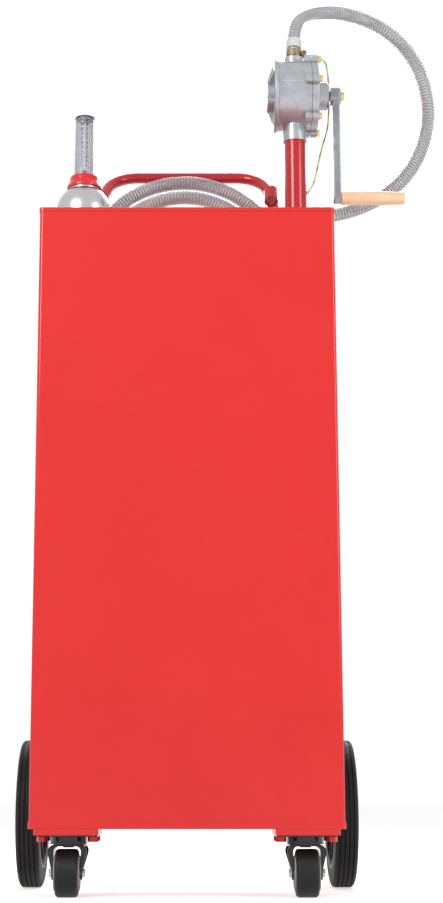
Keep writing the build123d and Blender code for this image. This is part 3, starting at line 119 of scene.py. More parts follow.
def lathe(name, profile, centre, axis, steps=64):
    """Profile of (radius, height) in mm turned round an axis through a centre given in mm:
    point = centre + height * axis + radius * (cos t * u + sin t * v), closed into a ring."""
    axis = unit(np.asarray(axis, dtype=float))
    u = unit(np.cross(axis, (0.3, 0.5, 0.8)))
    v = np.cross(axis, u)
    radius, height = np.asarray(profile, dtype=float).T[:, :, None, None]
    turn = np.linspace(0, 2 * pi, steps, endpoint=False)[None, :, None]
    grid = height * axis + radius * (np.cos(turn) * u + np.sin(turn) * v)
    return grid_mesh(name, at(grid + np.asarray(centre, dtype=float)), close_rows=True)


def merge(mesh):
    """Join points that lie on one another, as at a pole, and turn every face outwards."""
    work = bmesh.new()
    work.from_mesh(mesh)
    bmesh.ops.remove_doubles(work, verts=work.verts, dist=1e-6)
    bmesh.ops.recalc_face_normals(work, faces=work.faces)
    work.to_mesh(mesh)
    work.free()
    return mesh


print("helpers for grids, pieces and turned shapes")


# %% [markdown]
# A finish is a Principled shader with a few noises behind it. These small helpers add a node and
# set or link its inputs by name, so a finish reads as a short list of what the surface does.

# %% Material helpers
def new_finish(name, colour, roughness, metallic=0.0, **others):
    """A Principled material; an even value is set on the shader's own socket."""
    material = bpy.data.materials.new(name)
    material.use_nodes = True
    shader = material.node_tree.nodes["Principled BSDF"]
    shader.inputs["Base Color"].default_value = (*colour, 1)
    shader.inputs["Roughness"].default_value = roughness
    shader.inputs["Metallic"].default_value = metallic
    for socket, value in others.items():
        shader.inputs[socket.replace("_", " ")].default_value = value
    return material, shader


def node(material, kind, inputs, output=0, **settings):
    """Add a shader node, set or link its inputs, and give back one output."""
    made = material.node_tree.nodes.new("ShaderNode" + kind)
    for name, value in settings.items():
        setattr(made, name, value)
    for key, value in inputs.items():
        if isinstance(value, bpy.types.NodeSocket):
            material.node_tree.links.new(value, made.inputs[key])
        else:
            made.inputs[key].default_value = value
    return made.outputs[output]


def link(material, output, socket):
    material.node_tree.links.new(output, socket)


def space(material, centre=(0, 0, 0), scale=(1, 1, 1)):
    """Object coordinates as (p - centre) * scale, with the centre in mm from the tank's front."""
    position = node(material, "TexCoord", {}, "Object")
    offset = -(at(centre) if any(centre) else np.zeros(3)) * np.asarray(scale)
    return node(material, "Mapping", {"Vector": position, "Location": offset, "Scale": scale})


def noise(material, where, scale, detail=2.0, distortion=0.0):
    return node(material, "TexNoise", {"Vector": where, "Scale": scale, "Detail": detail,
                                       "Distortion": distortion})


def blend(material, factor, first, second):
    """Colour between two by a factor."""
    return node(material, "Mix", {0: factor, 6: (*first, 1), 7: (*second, 1)}, 2, data_type="RGBA")


def remap(material, value, low, high, to_low, to_high):
    """Straight-line map of low..high to to_low..to_high, held at its ends."""
    return node(material, "MapRange", {"Value": value, "From Min": low, "From Max": high,
                                       "To Min": to_low, "To Max": to_high})


def raise_surface(material, shader, *layers):
    """Bumps on bumps: each layer is (height output, strength, height in metres)."""
    normal = None
    for height, strength, distance in layers:
        inputs = {"Height": height, "Strength": strength, "Distance": distance}
        if normal is not None:
            inputs["Normal"] = normal
        normal = node(material, "Bump", inputs)
    link(material, normal, shader.inputs["Normal"])


def from_axle(material, centre):
    """Distance in metres from an axle along X through the centre: the length of (0, y, z)."""
    flat = node(material, "VectorMath", {0: space(material, centre), 1: (0, 1, 1)}, operation="MULTIPLY")
    return node(material, "VectorMath", {0: flat}, "Value", operation="LENGTH")


def turned(material, value, scale):
    """Noise along one value: the fine rings that a lathe or a spinning tool leaves."""
    return node(material, "TexNoise", {"W": value, "Scale": scale, "Detail": 3.0},
                noise_dimensions="1D")


print("helpers for finishes")


# %% [markdown]
# Powder coat is sprayed as dry powder and baked. It is glossy, with a fine orange peel about a
# millimetre across, and over thin sheet the reflections also wander in long soft waves. Both are
# noises in the bump, and two faint ones shift the colour and the roughness.

# %% Painted finishes
def powder_coat(name, dark, light, roughness, wave):
    material, shader = new_finish(name, light, roughness, Coat_Weight=0.15, Coat_Roughness=0.06,
                                  Specular_IOR_Level=0.4)
    where = space(material)
    cloud = noise(material, where, 6.0)
    link(material, blend(material, cloud, dark, light), shader.inputs["Base Color"])
    grain = noise(material, where, 45.0)
    link(material, remap(material, grain, 0.3, 0.7, roughness - 0.03, roughness + 0.05),
         shader.inputs["Roughness"])
    raise_surface(material, shader, (noise(material, where, 7.0, 1.0), wave, 0.004),
                  (noise(material, where, 650.0), 0.10, 0.0003))
    return material


red_paint = powder_coat("red_powder_coat", (0.74, 0.014, 0.014), (0.79, 0.019, 0.018), 0.20, 0.05)
# The tubes' coat: a deeper red of their own, made darker still as painted shade.
tube_red_and_shade = powder_coat("deep_red_coat_and_shade", (0.50, 0.006, 0.012), (0.56, 0.008, 0.015), 0.14, 0.02)
black_paint = powder_coat("black_gloss_paint", (0.012, 0.012, 0.013), (0.022, 0.022, 0.024), 0.22,
                          0.05)
print("painted finishes:", red_paint.name, tube_red_and_shade.name, black_paint.name)

# %% [markdown]
# The pump is cast aluminium under a thin silver-grey lacquer. Sand moulding leaves a grain finer than
# a millimetre with a few larger hollows, so the bump adds two noises, and the colour is painted a
# little darker in the hollows as painted shade.

# %% Metal finishes
def casting(name, dark, light, roughness, metallic):
    material, shader = new_finish(name, light, roughness, metallic)
    where = space(material)
    sand = noise(material, where, 420.0, 5.0)
    hollow_and_shade = noise(material, where, 60.0, 3.0)
    # painted shade: the colour is darker where the hollow noise is low, in the bump's hollows
    link(material, blend(material, remap(material, hollow_and_shade, 0.35, 0.6, 0, 1), dark, light),
         shader.inputs["Base Color"])
    link(material, remap(material, sand, 0.3, 0.7, roughness - 0.06, roughness + 0.1),
         shader.inputs["Roughness"])
    raise_surface(material, shader, (hollow_and_shade, 0.12, 0.0005), (sand, 0.35, 0.0003))
    return material


def bright_metal(name, dark, light, roughness, scale=160.0):
    """Plated or bare metal: a fine mottle in colour and roughness, and faint scratches."""
    material, shader = new_finish(name, light, roughness, 1.0)
    where = space(material)
    mottle = noise(material, where, scale, 3.0)
    link(material, blend(material, mottle, dark, light), shader.inputs["Base Color"])
    link(material, remap(material, mottle, 0.3, 0.7, roughness - 0.08, roughness + 0.1),
         shader.inputs["Roughness"])
    raise_surface(material, shader, (noise(material, where, 1400.0, 2.0, 1.5), 0.08, 0.0001))
    return material


cast_metal = casting("lacquered_casting", (0.37, 0.39, 0.42), (0.44, 0.46, 0.49), 0.34, 0.55)
arm_metal = casting("crank_casting", (0.24, 0.26, 0.28), (0.32, 0.34, 0.36), 0.34, 0.65)
zinc = bright_metal("zinc_plate", (0.46, 0.46, 0.47), (0.62, 0.62, 0.62), 0.30)
brass = bright_metal("brass", (0.58, 0.38, 0.13), (0.76, 0.55, 0.24), 0.28)
chrome = bright_metal("chrome_plate", (0.66, 0.66, 0.67), (0.80, 0.80, 0.81), 0.10)
worn_brass = bright_metal("worn_brass", (0.03, 0.022, 0.014), (0.46, 0.36, 0.21), 0.34, 420.0)

spun, spun_shader = new_finish("spun_steel", (0.46, 0.46, 0.46), 0.33, 1.0)
spun_rings = turned(spun, node(spun, "SeparateXYZ", {0: space(spun)}, 2), 900.0)
link(spun, blend(spun, spun_rings, (0.40, 0.40, 0.40), (0.62, 0.62, 0.62)),
     spun_shader.inputs["Base Color"])
link(spun, remap(spun, spun_rings, 0.3, 0.7, 0.20, 0.32), spun_shader.inputs["Roughness"])
raise_surface(spun, spun_shader, (spun_rings, 0.25, 0.0002))
print("metal finishes:", cast_metal.name, zinc.name, brass.name, chrome.name, spun.name)

# %% [markdown]
# Rubber scatters light, and its moulds leave rings on a tyre's side. The rings follow the distance
# from the axle, which the shader can work out from the object's own coordinates.

# %% Rubber and plastic finishes
def moulded(name, dark, light, roughness, grain, strength, centre=None, **others):
    material, shader = new_finish(name, light, roughness, **others)
    where = space(material)
    dust = noise(material, where, 30.0, 4.0)
    link(material, blend(material, dust, dark, light), shader.inputs["Base Color"])
    link(material, remap(material, dust, 0.3, 0.7, roughness - 0.05, roughness + 0.08),
         shader.inputs["Roughness"])
    layers = [(noise(material, where, grain, 3.0), strength, 0.0003)]
    if centre is not None:
        layers.insert(0, (turned(material, from_axle(material, centre), 260.0), 0.5, 0.0012))
    raise_surface(material, shader, *layers)
    return material


fixed_axle, caster_axle = (0, 345, 127), (0, 45, 37.5)
tyre_rubber = moulded("tyre_rubber", (0.008, 0.008, 0.009), (0.015, 0.015, 0.016), 0.62, 900.0, 0.3,
                      fixed_axle, Specular_IOR_Level=0.25)
caster_rubber = moulded("caster_rubber", (0.006, 0.006, 0.007), (0.011, 0.011, 0.012), 0.45, 1100.0,
                        0.2, caster_axle, Specular_IOR_Level=0.3)
black_rubber = moulded("seal_rubber", (0.015, 0.015, 0.016), (0.028, 0.028, 0.029), 0.5, 1300.0, 0.2)
black_plastic = moulded("black_moulding", (0.018, 0.018, 0.018), (0.032, 0.032, 0.033), 0.40, 1600.0,
                        0.25)
grey_plastic = moulded("grey_moulding", (0.42, 0.42, 0.41), (0.55, 0.55, 0.54), 0.42, 1600.0, 0.2)
bead_plastic = moulded("dark_red_bead", (0.20, 0.010, 0.012), (0.32, 0.020, 0.022), 0.30, 900.0, 0.1)
white_tape = moulded("white_tape", (0.62, 0.62, 0.60), (0.80, 0.80, 0.78), 0.55, 700.0, 0.4)
printed_black = moulded("printed_black", (0.006, 0.006, 0.008), (0.012, 0.012, 0.015), 0.7, 900.0,
                        0.1)
print("rubber and plastic finishes made")

# %% [markdown]
# The grip is a turned piece of pale hardwood. A stick cut from a plank shows growth rings as long
# streaks along its length, with short fine pores between them. Noise stretched along the grip gives
# both, and a thin coat stands for the varnish.

# %% Wood finish
wood, wood_shader = new_finish("pale_wood", (0.72, 0.46, 0.24), 0.42, Coat_Weight=0.25,
                               Coat_Roughness=0.2)
grip_middle = (330, 124, 1190)
streak = noise(wood, space(wood, grip_middle, (9, 150, 150)), 1.0, 4.0, 0.6)
pores = noise(wood, space(wood, grip_middle, (120, 1800, 1800)), 1.0, 2.0)
light_wood = blend(wood, remap(wood, streak, 0.35, 0.65, 0, 1), (0.86, 0.58, 0.34),
                   (0.95, 0.70, 0.45))
shade = remap(wood, pores, 0.30, 0.45, 0.90, 1.0)
link(wood, node(wood, "Mix", {0: 1.0, 6: light_wood, 7: shade}, 2, data_type="RGBA",
                blend_type="MULTIPLY"), wood_shader.inputs["Base Color"])
raise_surface(wood, wood_shader, (streak, 0.12, 0.0006), (pores, 0.25, 0.0002))
print("wood finish made")

# %% [markdown]
# Clear plastic is hard to render cheaply as real glass. Seen head-on it lets the background through,
# and at a grazing angle it turns to a bright or dark edge, so its opacity follows the angle at which
# the surface is seen. The sight tube's colour also goes near black there, a painted dark edge, and the
# hose's pale colour grows opaque there, a painted bright edge. The hose carries a helix: its ribs
# follow v - u of the UV map, which climbs by one turn for each trip round the tube, and its colour is
# darker in the valleys between the ribs, painted shade.

# %% Clear finishes
sight, sight_shader = new_finish("clear_sight_tube", (0.5, 0.5, 0.55), 0.08, IOR=1.45)
edge = node(sight, "LayerWeight", {"Blend": 0.35}, "Facing")
# painted dark edge: grey head-on, near black at a grazing angle
link(sight, blend(sight, remap(sight, edge, 0.45, 0.95, 0, 1), (0.46, 0.46, 0.53),
                  (0.02, 0.02, 0.03)), sight_shader.inputs["Base Color"])
haze = remap(sight, noise(sight, space(sight), 60.0), 0.3, 0.7, 0.0, 0.06)
link(sight, node(sight, "Math", {0: remap(sight, edge, 0.35, 0.8, 0.30, 0.97), 1: haze},
                 operation="ADD"), sight_shader.inputs["Alpha"])
raise_surface(sight, sight_shader, (noise(sight, space(sight), 90.0), 0.05, 0.0005))

hose_clear, hose_shader = new_finish("clear_hose", (0.92, 0.92, 0.94), 0.12, IOR=1.5)
edge = node(hose_clear, "LayerWeight", {"Blend": 0.4}, "Facing")
uv = node(hose_clear, "UVMap", {}, uv_map="round_and_along")
along = node(hose_clear, "SeparateXYZ", {0: uv}, 1)
around = node(hose_clear, "SeparateXYZ", {0: uv}, 0)
phase = node(hose_clear, "Math", {0: along, 1: around}, operation="SUBTRACT")
angle = node(hose_clear, "Math", {0: phase, 1: 2 * pi}, operation="MULTIPLY")
rib = node(hose_clear, "Math", {0: angle}, operation="COSINE")
# painted shade: the colour is darker in the valleys between the ribs
link(hose_clear, blend(hose_clear, remap(hose_clear, rib, -0.6, 0.9, 0, 1), (0.66, 0.65, 0.71),
                       (0.96, 0.96, 0.98)), hose_shader.inputs["Base Color"])
haze = remap(hose_clear, rib, -1, 1, -0.04, 0.08)
# painted bright edge: the pale hose colour turns opaque at a grazing angle
link(hose_clear, node(hose_clear, "Math", {0: remap(hose_clear, edge, 0.15, 0.9, 0.33, 0.74), 1: haze},
                      operation="ADD"), hose_shader.inputs["Alpha"])
raise_surface(hose_clear, hose_shader, (rib, 0.8, 0.0005))
spring_steel = bright_metal("spring_wire", (0.05, 0.05, 0.06), (0.12, 0.12, 0.13), 0.3)

wire_cover, wire_shader = new_finish("earth_wire_cover", (0.62, 0.68, 0.10), 0.35)
uv = node(wire_cover, "UVMap", {}, uv_map="round_and_along")
around = node(wire_cover, "SeparateXYZ", {0: uv}, 0)
along = node(wire_cover, "SeparateXYZ", {0: uv}, 1)
twist = node(wire_cover, "Math", {0: along, 1: around}, operation="ADD")
turn = node(wire_cover, "Math", {0: twist}, operation="FRACT")
stripe = node(wire_cover, "Math", {0: turn, 1: 0.34}, operation="LESS_THAN")
link(wire_cover, blend(wire_cover, stripe, (0.66, 0.66, 0.10), (0.09, 0.22, 0.05)),
     wire_shader.inputs["Base Color"])
raise_surface(wire_cover, wire_shader, (noise(wire_cover, space(wire_cover), 500.0), 0.1, 0.0002))
print("clear finishes made")

# %% [markdown]
# The hose is one length of 25 mm clear PVC with a steel wire wound into its wall. It leaves the pump
# straight up, loops over and round the crank's side, and goes behind the tank, where it is wound a
# little more than twice. The coil lies near the left hook, and doesn't reach the right one. The
# photograph shows the free loop, so its line is repeated from the part's source. The coil's turns are
# more points of the same spline: sixteen a turn on a spiral, whose radius grows by a little more than
# a hose's width with each turn.

# %% The hose's route
free_loop = [(193, 130, 1460.8), (193, 130, 1497), (199, 145, 1535), (215, 174, 1564),
             (249, 214, 1594), (299, 248, 1608.5), (354, 272, 1602), (404, 289, 1575.5),
             (441, 304, 1531), (461, 318, 1476), (463.5, 329, 1418), (447, 335, 1360),
             (416, 336, 1310), (371, 333.5, 1271), (318, 329, 1244), (261, 327.5, 1230.5),
             (201, 329.5, 1228), (143, 332.5, 1230), (84, 335, 1233.5)]
points_per_turn, coil_turns = 16, 2.25
coil_radius, coil_growth, coil_height = 132.2, 28.8, 1098.5
coil_depth, coil_step = 300, 17.5
turn = np.arange(0, coil_turns * points_per_turn - 1) / points_per_turn
spiral = (coil_radius + coil_growth * turn) / cos(pi / points_per_turn)
depth = coil_depth + coil_step * (1 + np.cos(2 * pi * np.minimum(turn, 0.5)))
coil = np.stack([-spiral * np.sin(2 * pi * turn), depth,
                 coil_height + spiral * np.cos(2 * pi * turn)], -1)
tail = [(-198, 300, 1118), (-197, 300, 1090), (-196.9, 300, 1066.6)]
hose_route = at(np.vstack([free_loop, coil, tail]))
wire_route = at([(240.4, 102.65, 1447.2), (248.4, 106.65, 1445.2), (253, 124, 1433), (257.5, 149, 1407),
                 (257.5, 161, 1374), (255, 161, 1340), (245, 155, 1308), (236, 148, 1272),
                 (229, 140, 1236), (221.4, 133, 1215), (213.4, 130, 1205)])
print("control points:", len(hose_route), "for the hose,", len(wire_route), "for the earth wire")

# %% [markdown]
# A cord bends smoothly, so its points steer a NURBS curve that Blender works out. The tube is then a
# grid round points read from that curve, because a grid can carry a UV map that counts the ribs, which
# a bevelled curve can't.

# %% Tubes along a curve
def along_line(wanted, distance, line):
    """Points of a line at the wanted distances, each coordinate interpolated by itself."""
    return np.stack([np.interp(wanted, distance, line[:, k]) for k in range(3)], -1)


def smooth_line(name, points, spacing):
    """Even points along the NURBS curve whose control points are the route's: the curve's own points
    are read, their straight distances summed, and each coordinate interpolated at equal distances."""
    curve = bpy.data.curves.new(name, "CURVE")
    curve.dimensions = "3D"
    curve.resolution_u = 24
    spline = curve.splines.new("NURBS")
    spline.points.add(len(points) - 1)
    spline.points.foreach_set("co", np.c_[points, np.ones(len(points))].ravel())
    spline.order_u = 3
    spline.use_endpoint_u = True
    holder = bpy.data.objects.new(name, curve)
    mesh = bpy.data.meshes.new_from_object(holder)
    read = np.empty(3 * len(mesh.vertices))
    mesh.vertices.foreach_get("co", read)
    read = read.reshape(-1, 3)
    bpy.data.meshes.remove(mesh)
    bpy.data.objects.remove(holder)
    distance = np.r_[0, np.cumsum(np.linalg.norm(np.diff(read, axis=0), axis=1))]
    wanted = np.linspace(0, distance[-1], int(distance[-1] / spacing) + 1)
    return along_line(wanted, distance, read), wanted


def cross_frames(line):
    """Two unit vectors across a line at each of its points. No route here runs along Y, so Y steers
    them: side = tangent x Y, up = side x tangent."""
    tangent = unit(np.gradient(line, axis=0))
    side = unit(np.cross(tangent, (0, 1, 0)))
    return side, np.cross(side, tangent)


def shell(line, outer, inner, columns):
    """Tube with a wall: rows go out along the outer face and back along the inner one. A point is
    line + radius * (cos t * side + sin t * up)."""
    side, up = cross_frames(line)
    turn = np.linspace(0, 2 * pi, columns, endpoint=False)[None, :, None]
    around = np.cos(turn) * side[:, None] + np.sin(turn) * up[:, None]
    return np.vstack([line[:, None] + outer * around, (line[:, None] + inner * around)[::-1]])


hose_line, hose_along = smooth_line("hose_route", hose_route, 0.004)
print("hose", round(hose_along[-1], 3), "m long")

# %% [markdown]
# The hose's wall is clear, so the steel wire in it shows as dark rings. The wire is a helix of its
# own, inside the wall, with the same pitch as the ribs of the hose's finish. White tape is wound
# over the hose's end above the clamp, and its turns leave low rings.

# %% Hose, its wire helix and the tape
pitch = 0.0056
hose_outer, hose_inner = 0.0125, 0.0095
values = np.r_[hose_along, hose_along[::-1], 0] / pitch
hose_mesh = grid_mesh("hose", shell(hose_line, hose_outer, hose_inner, 24), True, True, values)
hose = add_piece("hose", hose_mesh, hose_clear, stands_for=("hose_loop", "hose_coil"))

steps_per_ring, helix_radius, spring_radius = 12, 0.0110, 0.0011
where = np.linspace(hose_along[0], hose_along[-1], int(hose_along[-1] / pitch * steps_per_ring))
middle = along_line(where, hose_along, hose_line)
side, up = cross_frames(middle)
lift = (2 * pi * where / pitch)[:, None]
radial = np.cos(lift) * side + np.sin(lift) * up
helix = middle + helix_radius * radial
across = unit(np.cross(unit(np.gradient(helix, axis=0)), radial))
section = np.linspace(0, 2 * pi, 4, endpoint=False)[None, :, None]
spring_section = np.cos(section) * radial[:, None] + np.sin(section) * across[:, None]
helix_grid = helix[:, None] + spring_radius * spring_section
hose_helix = add_piece("hose_wire_helix", grid_mesh("hose_wire_helix", helix_grid), spring_steel,
                       sharp=80)

tape_start, tape_end, tape_rows = 0.0175, 0.0385, 15
tape_outer, tape_inner, tape_ring = 0.01345, 0.01260, 0.00012
tape_line = hose_line[(hose_along > tape_start) & (hose_along < tape_end)]
tape_line = along_line(np.linspace(0, 1, tape_rows), np.linspace(0, 1, len(tape_line)), tape_line)
tape_grid = shell(tape_line, tape_outer, tape_inner, 48)
rings = np.sin(np.linspace(0, 9 * pi, tape_rows)) * tape_ring
tape_grid[:tape_rows] += rings[:, None, None] * unit(tape_grid[:tape_rows] - tape_line[:, None])
hose_tape = add_piece("hose_tape", grid_mesh("hose_tape", tape_grid, True), white_tape,
                      stands_for=("hose_sleeve",))

# %% [markdown]
# The earth wire joins a cover bolt to the riser, so that no spark can jump while fuel runs. It has
# the usual yellow cover with a green stripe that winds slowly round it, and a flat ring lug at each
# end. A lug is one rounded profile turned about an axis square to the face that it lies on.

# %% Earth wire and its lugs
wire_line, wire_along = smooth_line("wire_route", wire_route, 0.002)
stripe_length = 0.03
wire_values = np.r_[wire_along, wire_along[::-1], 0] / stripe_length
wire_mesh = grid_mesh("earth_wire", shell(wire_line, 0.0013, 0.0006, 12), True, True, wire_values)
earth_wire = add_piece("earth_wire", wire_mesh, wire_cover,
                       stands_for=("ground_wire",))


def lug(name, face):
    """Ring against a face that looks along X: a rounded profile of (radius, height) turned about X."""
    profile = [(1.0, 0), (4.3, 0), (4.6, 0.25), (4.3, 0.8), (1.2, 0.8), (1.0, 0.6)]
    return add_piece(name, lathe(name, profile, face, (1, 0, 0), 32), brass)


upper_lug = lug("upper_lug", (239.05, 102.65, 1447.2))
lower_lug = lug("lower_lug", (212.1, tank_middle, 1205))

# %% [markdown]
# The CAD pieces that nothing replaces keep their meshes and get their finishes by name. The sheet
# parts have a red coat, and the tubes a darker, deeper red that is partly their own colour and partly
# painted shade. The pump is a lacquered casting, and the small hardware is zinc, brass or chrome.

# %% Finishes on the CAD pieces
def dress(material, *names):
    for name in names:
        for slot in nodes[name].material_slots:
            slot.material = material
    print(material.name, "on", len(names), "pieces")


dress(red_paint, "tank_wrap", "tank_lid", "tank_floor", "base_rim", "gauge_collar", "hose_hook_left",
      "hose_hook_right", "axle_bracket_left", "axle_bracket_right", "caster_bolts")
dress(tube_red_and_shade, "riser_pipe", "handle_bar", "nozzle_holder")
dress(black_paint, "caster_plate_left", "caster_plate_right", "caster_fork_left", "caster_fork_right")
dress(spun, "filler_dome")
dress(zinc, "filler_screws", "gauge_stem", "suction_pipe", "suction_strainer", "pump_shaft",
      "grip_spindle", "hook_bolts", "nozzle_ferrule", "nozzle_lever", "caster_axle_left",
      "caster_axle_right")
dress(chrome, "rear_axle", "nozzle_spout")
dress(cast_metal, "pump_body", "pump_cover", "pump_rotor", "nozzle_body")
dress(arm_metal, "crank_arm")
dress(brass, "pump_bolts", "crank_bolt", "outlet_barb")
dress(black_rubber, "pump_seals")
dress(black_plastic, "gauge_cap", "pump_vanes", "float_arm", "rear_hub_left", "rear_hub_right")
dress(grey_plastic, "caster_hub_left", "caster_hub_right")
dress(tyre_rubber, "rear_tyre_left", "rear_tyre_right")
dress(caster_rubber, "caster_tyre_left", "caster_tyre_right")
dress(bead_plastic, "gauge_rod")
dress(sight, "gauge_tube")
dress(chrome, "gauge_guide")

# %% [markdown]
# The grip is turned on a lathe: a slight belly, rounded ends, and one groove near its inner end that
# marks where the fingers stop. A closed profile turned round the spindle gives it, with the bore and
# the recess for the spindle's head left open.

# %% Crank grip
grip_end = (273.5, tank_middle, 1195.5)
grip_profile = [(4.06, 0), (9.6, 0), (11.2, 0.6), (11.8, 2), (11.95, 8.2), (11.3, 9.0), (11.2, 9.7),
                (11.3, 10.4), (12.0, 11.2), (12.2, 30), (12.3, 56), (12.0, 80), (11.3, 98), (10.8, 109),
                (10.3, 111), (9.2, 112), (7.5, 112), (7.5, 105), (4.06, 105)]
add_piece("turned_grip", lathe("turned_grip", grip_profile, grip_end, (1, 0, 0), 72), wood,
          "grip", ("crank_grip",), 40)

# %% [markdown]
# The sight tube is printed with a scale on each side of the rod. Each tick is a thin bent bar on the
# tube's face, and the numbers are small generic digits. The digits are made as text, turned into a
# mesh, and wrapped: x becomes an angle round the tube, y its height.

# %% Scale on the sight tube
sight_bottom, sight_height = 1227.8, 116.5
sight_radius, sight_taper, print_clearance = 18.0, 1.2, 0.12
scale_base, scale_step, scale_rows = 1250.0, 2.9, 31


def tube_radius(height):
    """Outer radius of the tapering tube at a height in mm, and a hair more."""
    return sight_radius - sight_taper * (height - sight_bottom) / sight_height + print_clearance


def on_tube(sideways, height):
    """Wrap flat marks round the tube's front: angle = sideways / radius, from the -Y direction."""
    radius = tube_radius(height)
    angle = sideways / radius
    return np.stack([filler_x + radius * np.sin(angle), tank_middle - radius * np.cos(angle),
                     height], -1)


tick_near, tick_far, half_tick = 3.2, 5.6, 0.4
ticks = []
for number in range(scale_rows):
    if number % 3 == 0:
        continue
    height = scale_base + scale_step * number
    for way in (-1, 1):
        sideways = way * np.linspace(tick_near, tick_far, 5)
        low = on_tube(sideways, np.full(5, height - half_tick))
        high = on_tube(sideways, np.full(5, height + half_tick))
        ticks.append(np.stack([low, high]) if way < 0 else np.stack([high, low]))
ticks = at(np.array(ticks))
count = len(ticks)
corner = (np.arange(count)[:, None, None] * 10
          + np.array([[k, k + 5, k + 6, k + 1] for k in range(4)])[None])
tick_mesh = bpy.data.meshes.new("scale_ticks")
tick_mesh.from_pydata(ticks.reshape(-1, 3).tolist(), [], corner.reshape(-1, 4).tolist())
add_piece("scale_ticks", tick_mesh, printed_black, "gauge")

digit_size, digit_offset, digit_place = 3.4, 0.2, 4.6
corners, sides, first = [], [], 0
for number in range(0, scale_rows, 3):
    for way, value in ((-1, number), (1, number * 4)):
        text = bpy.data.curves.new("digits", "FONT")
        text.body = str(value)
        text.size = digit_size
        text.offset = digit_offset
        text.align_x = "CENTER"
        text.align_y = "CENTER"
        holder = bpy.data.objects.new("digits", text)
        flat = bpy.data.meshes.new_from_object(holder)
        read = np.empty(3 * len(flat.vertices))
        flat.vertices.foreach_get("co", read)
        read = read.reshape(-1, 3)
        wrapped = on_tube(read[:, 0] + way * digit_place, read[:, 1] + scale_base + scale_step * number)
        index = np.empty(len(flat.loops), dtype=np.int32)
        flat.loops.foreach_get("vertex_index", index)
        total = np.empty(len(flat.polygons), dtype=np.int32)
        flat.polygons.foreach_get("loop_total", total)
        corners.append(at(wrapped))
        sides += [side.tolist() for side in np.split(index + first, np.cumsum(total)[:-1])]
        first += len(wrapped)
        bpy.data.meshes.remove(flat)
        bpy.data.objects.remove(holder)
digit_mesh = bpy.data.meshes.new("scale_digits")
digit_mesh.from_pydata(np.vstack(corners).tolist(), [], sides)
add_piece("scale_digits", digit_mesh, printed_black, "gauge")

# %% [markdown]
# The hose clamp is a worm-drive band: slots pressed across a thin strip, and a housing whose screw
# drives them. The CAD has a plain clamp. Here the slots are shallow dips worked into the band's
# radius, and the housing is a rounded shell with a six-sided screw head that has a dip in its middle.

# %% Hose clamp
clamp_slots, slot_depth, clamp_base = 48, 0.22, 1463.8
band_outer, band_edge, band_inner = 13.5, 13.2, 12.55
clamp_turn = np.linspace(0, 2 * pi, 6 * clamp_slots, endpoint=False)
slot_dip = slot_depth * np.clip(np.sin(clamp_slots * clamp_turn) * 2, 0, 1)
heights = np.array([0, 0.5, 2.2, 3.0, 6.0, 9.0, 9.8, 11.5, 12])
pressed = np.array([0, 0, 0, 1, 1, 1, 0, 0, 0])
outer = band_outer - slot_dip[None] * pressed[:, None]
outer[[0, -1]] = band_edge
columns = np.stack([np.cos(clamp_turn), np.sin(clamp_turn)], -1)[None]
levels = np.broadcast_to(heights[:, None, None], (*outer.shape, 1))
outside = np.concatenate([outer[..., None] * columns, levels], -1)
inside = np.concatenate([np.full_like(levels, band_inner) * columns, levels], -1)[::-1]
band = at(np.vstack([outside, inside]) + (riser_x, tank_middle, clamp_base))
add_piece("clamp_band", grid_mesh("clamp_band", band, True), worn_brass,
          stands_for=("hose_clamp",))


def rounded_box(name, low, high, bulge=4, steps=24):
    """Box with soft edges: a superellipsoid, x = a * sign(c) * |c| ** (2 / bulge) for each angle."""
    low, high = np.asarray(low, dtype=float), np.asarray(high, dtype=float)
    across, along = np.meshgrid(np.linspace(-pi / 2, pi / 2, steps // 2 + 1),
                                np.linspace(0, 2 * pi, steps, endpoint=False), indexing="ij")

    def soft(value):
        return np.sign(value) * np.abs(value) ** (2 / bulge)
    grid = np.stack([soft(np.cos(across)) * soft(np.cos(along)),
                     soft(np.cos(across)) * soft(np.sin(along)), soft(np.sin(across))], -1)
    return merge(grid_mesh(name, at((low + high) / 2 + grid * (high - low) / 2)))


housing_low, housing_high = (205.9, 122.2, 1464.2), (215.4, 137.8, 1475.4)
screw_face = (211.5, 122.1, 1469.8)
add_piece("clamp_housing", rounded_box("clamp_housing", housing_low, housing_high, 5), worn_brass)
head_profile = [(0.01, 0), (3.9, 0), (3.9, 2.6), (3.4, 3.3), (1.2, 3.4), (0.9, 2.5), (0.01, 2.5)]
add_piece("clamp_screw", merge(lathe("clamp_screw", head_profile, screw_face, (0, -1, 0), 6)),
          worn_brass, sharp=20)

# %% [markdown]
# The casting came out of a mould in two halves, and where they met the metal left a thin raised line
# along the barrel. It is a low bead laid along the barrel's face with a slightly uneven height.

# %% Parting line of the casting
def bead_line(name, start, end, radius, wander, finish, steps=60):
    """Weld or flash: a thin closed tube from start to end, its radius going up and down."""
    start, end = np.asarray(start, dtype=float), np.asarray(end, dtype=float)
    share = np.linspace(0, 1, steps)[:, None]
    line = start + (end - start) * share
    swell = radius * (1 + wander * np.sin(share * 97) * np.cos(share * 41))
    swell = swell * np.sqrt(np.clip(1 - (2 * share - 1) ** 20, 1e-6, 1))
    axis = unit(end - start)
    side = unit(np.cross(axis, (0.2, 0.9, 0.4)))
    turn = np.linspace(0, 2 * pi, 10, endpoint=False)[None, :, None]
    grid = line[:, None] + swell[:, None] * (np.cos(turn) * side + np.sin(turn) * np.cross(axis, side))
    return add_piece(name, merge(grid_mesh(name, at(grid))), finish, sharp=80)


barrel_radius, line_angle = 61.2, radians(3)
line_height = shaft_height + barrel_radius * sin(line_angle)
for way, name in ((-1, "front"), (1, "back")):
    back = tank_middle + way * barrel_radius * cos(line_angle)
    bead_line("parting_line_" + name, (164, back, line_height), (216, back, line_height), 1.1, 0.4,
              zinc)

# %% [markdown]
# The handle's legs and the riser's foot are welded before the paint goes on. A weld bead is a row of
# small overlapping puddles, so its radius rises and falls along it.

